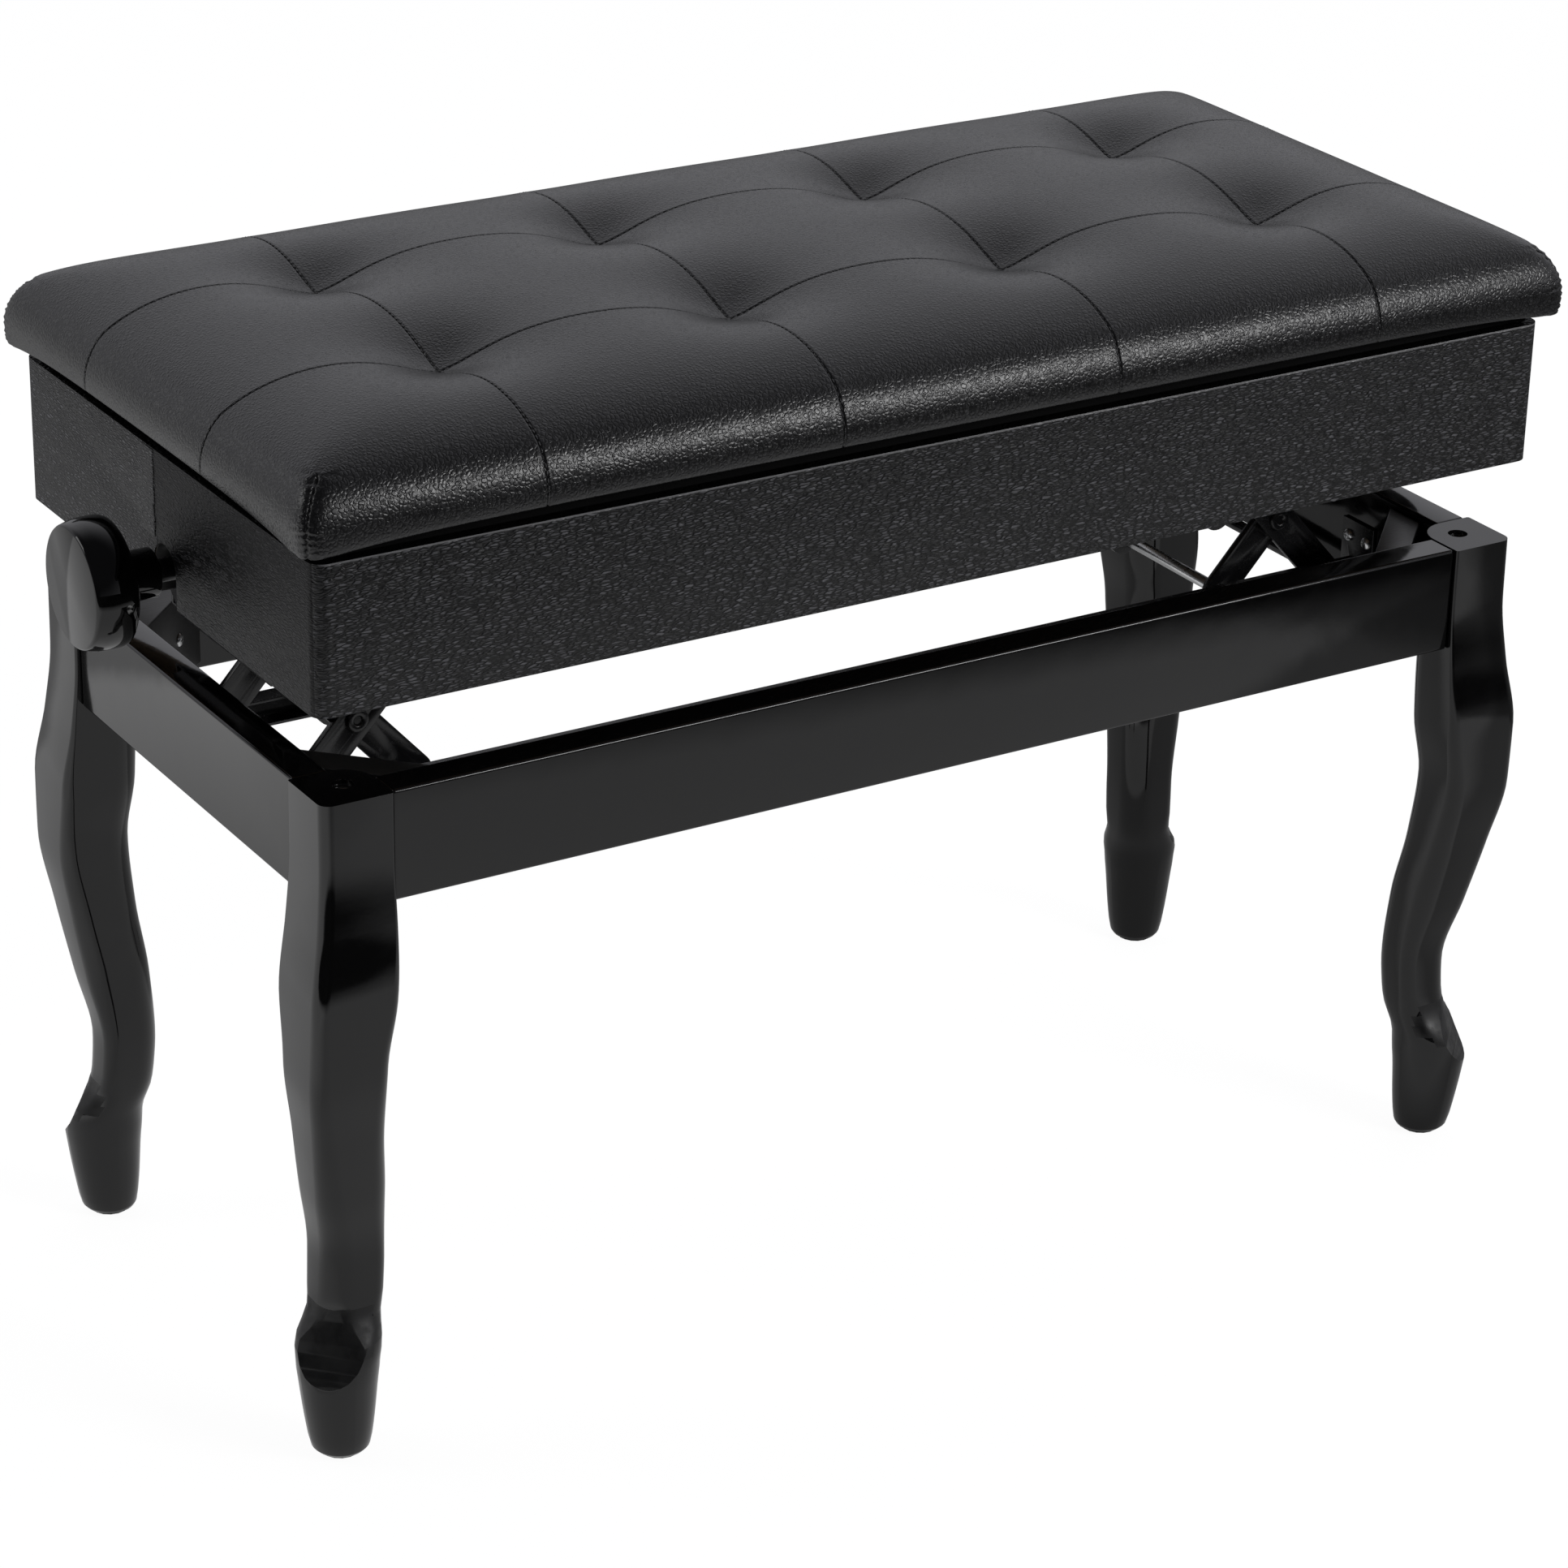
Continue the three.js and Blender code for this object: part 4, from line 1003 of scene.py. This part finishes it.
def fill_out(piece, pressure=4.0, cap=9 * mm, steps=20):
    """Blows the padding up under the cover: cloth held at the seams, the tufts and the lip."""
    mesh = piece.data
    marks = numbers(mesh.attributes["flat"].data, "vector")
    held = piece.vertex_groups.new(name="held")
    for index, (x, y, row) in enumerate(marks):
        firm = row > len(roll_out) - 4 or to_seam(x, y) < 0.9 * mm
        held.add([index], 1.0 if firm else 0.0, "REPLACE")
    start = numbers(mesh.vertices, "co")
    cloth = piece.modifiers.new("Filling", "CLOTH")
    leatherette = {"quality": 5, "mass": 0.3, "tension_stiffness": 40, "shear_stiffness": 20,
                   "compression_stiffness": 40, "bending_stiffness": 3, "use_pressure": True,
                   "uniform_pressure_force": pressure, "vertex_group_mass": held.name}
    for name, value in leatherette.items():
        setattr(cloth.settings, name, value)
    cloth.settings.effector_weights.gravity = 0
    cloth.collision_settings.use_collision = False
    cloth.point_cache.frame_start, cloth.point_cache.frame_end = 1, steps
    for step in range(1, steps + 1):
        bpy.context.scene.frame_set(step)
    shape = piece.evaluated_get(bpy.context.evaluated_depsgraph_get())
    blown = numbers(shape.data.vertices, "co")
    piece.modifiers.clear()
    piece.vertex_groups.clear()
    bpy.context.scene.frame_set(1)
    settled = []
    for before, after in zip(start, blown):
        move = after - before
        if move.length > cap:
            move.length = cap
        settled.extend(before + move)
    mesh.vertices.foreach_set("co", settled)
    mesh.update()


fill_out(cushion)
finer = cushion.modifiers.new("Finer", "SUBSURF")
finer.levels = finer.render_levels = 1
baked(cushion)

groove_depth = 0.9 * mm
groove_half = 0.72 * mm
groove_last_row = len(roll_out) + 4.5   # the seams run on to under the lip
pucker_depth, pucker_swing = 0.7 * mm, 0.6 * mm
pucker_reach, pucker_end = 7 * mm, 26 * mm
mesh = cushion.data
points = numbers(mesh.vertices, "co")
marks = numbers(mesh.attributes["flat"].data, "vector")
normals = numbers(mesh.vertex_normals, "vector")
for point, (x, y, row), normal in zip(points, marks, normals):
    if row > groove_last_row:
        continue
    near = to_seam(x, y)
    corner_run = abs(sheet_half[0] - abs(x)) + abs(sheet_half[1] - abs(y))
    if row > 0 or corner_run < 0.4 * mm:
        near = min(near, corner_run)
    push = groove_depth * max(0, 1 - near / groove_half)
    if row > 0 and corner_run < pucker_end:
        # the mitre seam gathers the cover beside it into small puckers
        fold = math.cos(2 * math.pi * (point.z / (3.6 * mm)) + corner_run / (2.2 * mm))
        fade = math.exp(-(corner_run / pucker_reach) ** 1.5)
        push += fade * (pucker_depth + pucker_swing * fold)
    point -= normal * push
mesh.vertices.foreach_set("co", [value for point in points for value in point])
bm = bmesh.new()
bm.from_mesh(mesh)
bmesh.ops.holes_fill(bm, edges=bm.edges, sides=0)
bmesh.ops.recalc_face_normals(bm, faces=bm.faces)
bm.to_mesh(mesh)
bm.free()
belongs(cushion, "lid", "seat_cover", "cushion")


def thread_finish():
    """Waxed sewing thread: two plies twisted together."""
    material, shader, place = coated("seat_thread", (0.05, 0.05, 0.052), 0.42)
    ply = wire(place, "TexWave", {"Vector": place, "Scale": 420, "Distortion": 1.5},
               bands_direction="DIAGONAL")[1]
    tint(shader, ply, (0.02, 0.02, 0.021), (0.08, 0.08, 0.083))
    relief(shader, ply, 0.05 * mm, 0.8)
    return material


def seam_route(x=None, y=None):
    """A seam's course over the whole cushion, from lip to lip, at one x or at one y."""
    course = [(-1, row) for row in range(len(roll_out) + 1, 0, -1)]
    course += [(k / 60, 0) for k in range(-60, 61)]
    course += [(1, row) for row in range(1, len(roll_out) + 2)]
    if y is None:
        return [cushion_point(x, share * sheet_half[1], row) for share, row in course]
    return [cushion_point(share * sheet_half[0], y, row) for share, row in course]


stitch_pitch = 3.7 * mm
stitch_length = 2.5 * mm
stitch_radius = 0.42 * mm
stitch_lift = 0.6 * stitch_radius       # its middle lies just over the cover
bm = bmesh.new()
bmesh.ops.create_uvsphere(bm, u_segments=6, v_segments=4, radius=1)
bmesh.ops.scale(bm, vec=(stitch_radius, stitch_radius, stitch_length / 2), verts=bm.verts)
stitch = piece_from(bm, "stitch")
places = []
for route in [seam_route(x=x) for x in cross_seams] + [seam_route(y=y) for y in long_seams]:
    ahead = stitch_pitch / 2
    for start, end in zip(route, route[1:]):
        run = (end - start).length
        while ahead < run:
            _, place, normal, _ = cushion.closest_point_on_mesh(start.lerp(end, ahead / run))
            along = (end - start).normalized()
            along = (along - normal * along.dot(normal)).normalized()
            lie = Matrix((normal, along.cross(normal), along)).transposed().to_4x4()
            lie.translation = place + normal * stitch_lift
            places.append(lie)
            ahead += stitch_pitch
        ahead -= run
stitches = repeated(stitch, places, "cushion_seam_stitches", thread_finish())
belongs(stitches, "lid", "seat_cover")

# ---- Setting -----------------------------------------------------------------
# A pale floor and even studio light; the dark room behind the camera shows in the gloss.

view = bpy.data.cameras.new("camera")
view.lens = 108.55
view.sensor_width = 36
view.clip_end = 100
camera = bpy.data.objects.new("camera", view)
camera.location = (-1.2679, -2.0261, 1.3327)
camera.rotation_euler = (1.142235, -0.019945, -0.549365)
bpy.context.scene.collection.objects.link(camera)
bpy.context.scene.camera = camera
bpy.context.scene.view_settings.view_transform = "Standard"

floor_material = bpy.data.materials.new("pale_floor")
floor_material.use_nodes = True
ground = floor_material.node_tree
ground.nodes.clear()
path = wire(ground, "LightPath")
spot = wire(ground, "TexCoord")["Object"]


def facing(place, direction):
    """How far a place lies in a direction, or how nearly one direction is another."""
    return wire(place, "VectorMath", {0: place, 1: direction},
                operation="DOT_PRODUCT")["Value"]


# painted light and shade on the floor, seen only in the gloss: dark near the camera, bright at
# the left, and half dark at the right and behind; along a direction, how bright before and
# after, from where to where
shades = [((-0.1, -0.99, 0), 1.0, 0.03, 0.86, 1.34), ((1, 0, 0), 1.7, 0.97, -0.8, -0.5),
          ((1, 0, 0), 1.0, 0.4, 0.9, 1.0), ((1, 0.9, 0), 1.0, 0.52, 0.14, 0.2)]
fade = None
for direction, *bright_and_reach in shades:
    shade = spread(facing(spot, direction), *bright_and_reach)
    fade = shade if fade is None else calc(fade, shade)


def painted_floor(glow, glow_strength, returned):
    """Light that leaves the floor: some of its own, and what it reflects."""
    own = wire(ground, "Emission", {"Color": glow, "Strength": glow_strength})[0]
    diffuse = wire(ground, "BsdfDiffuse", {"Color": returned})[0]
    return wire(ground, "AddShader", {0: own, 1: diffuse})[0]


plain = wire(ground, "BsdfDiffuse", {"Color": (0.75, 0.75, 0.75, 1)})[0]
to_gloss = painted_floor(fade, 0.46, blended(fade, (0, 0, 0), (0.4, 0.4, 0.4)))
to_camera = painted_floor((1, 1, 1, 1), 0.95, (0.16, 0.16, 0.16, 1))
surface = plain
for ray, seen_so in (("Is Glossy Ray", to_gloss), ("Is Camera Ray", to_camera)):
    surface = wire(ground, "MixShader", {0: path[ray], 1: surface, 2: seen_so})[0]
wire(ground, "OutputMaterial", {"Surface": surface})
bm = bmesh.new()
bmesh.ops.create_grid(bm, x_segments=1, y_segments=1, size=20)
piece_from(bm, "floor", floor_material)

room = bpy.data.worlds.new("room")
bpy.context.scene.world = room
room.use_nodes = True
around = room.node_tree
way = wire(around, "TexCoord")["Generated"]
camera_side = facing(way, (-0.5, -0.45, 0.74))
dim = wire(around, "MapRange", {0: camera_side, 1: 0.05, 2: 0.7, 3: 0.0, 4: 1.0},
           interpolation_type="SMOOTHSTEP")[0]
walls = blended(dim, (0.64, 0.64, 0.675), (0.06, 0.06, 0.065))
low_down = spread(facing(way, (0, 0, 1)), 0.62, 1.0, 0.0, 0.45)
walls = blended(low_down, (0, 0, 0), walls)
seen = wire(around, "LightPath")["Is Camera Ray"]
feed(around.nodes["Background"], "Color", blended(seen, walls, (1, 1, 1)))

# a strip lamp at the front right and a soft square one at the back left
for name, at, aim, size, watts in (("key", (1.25, -2.15, 1.5), (0, 0, 0.5), (1.0, 0.35), 19),
                                   ("left", (-2.4, 1.2, 1.9), (0, 0, 0.2), (1.2, 1.2), 9)):
    lamp = bpy.data.lights.new(name, "AREA")
    lamp.shape = "RECTANGLE"
    lamp.size, lamp.size_y = size
    lamp.energy = watts
    light = bpy.data.objects.new(name, lamp)
    light.location = at
    light.rotation_euler = (Vector(aim) - Vector(at)).to_track_quat("-Z", "Y").to_euler()
    bpy.context.scene.collection.objects.link(light)
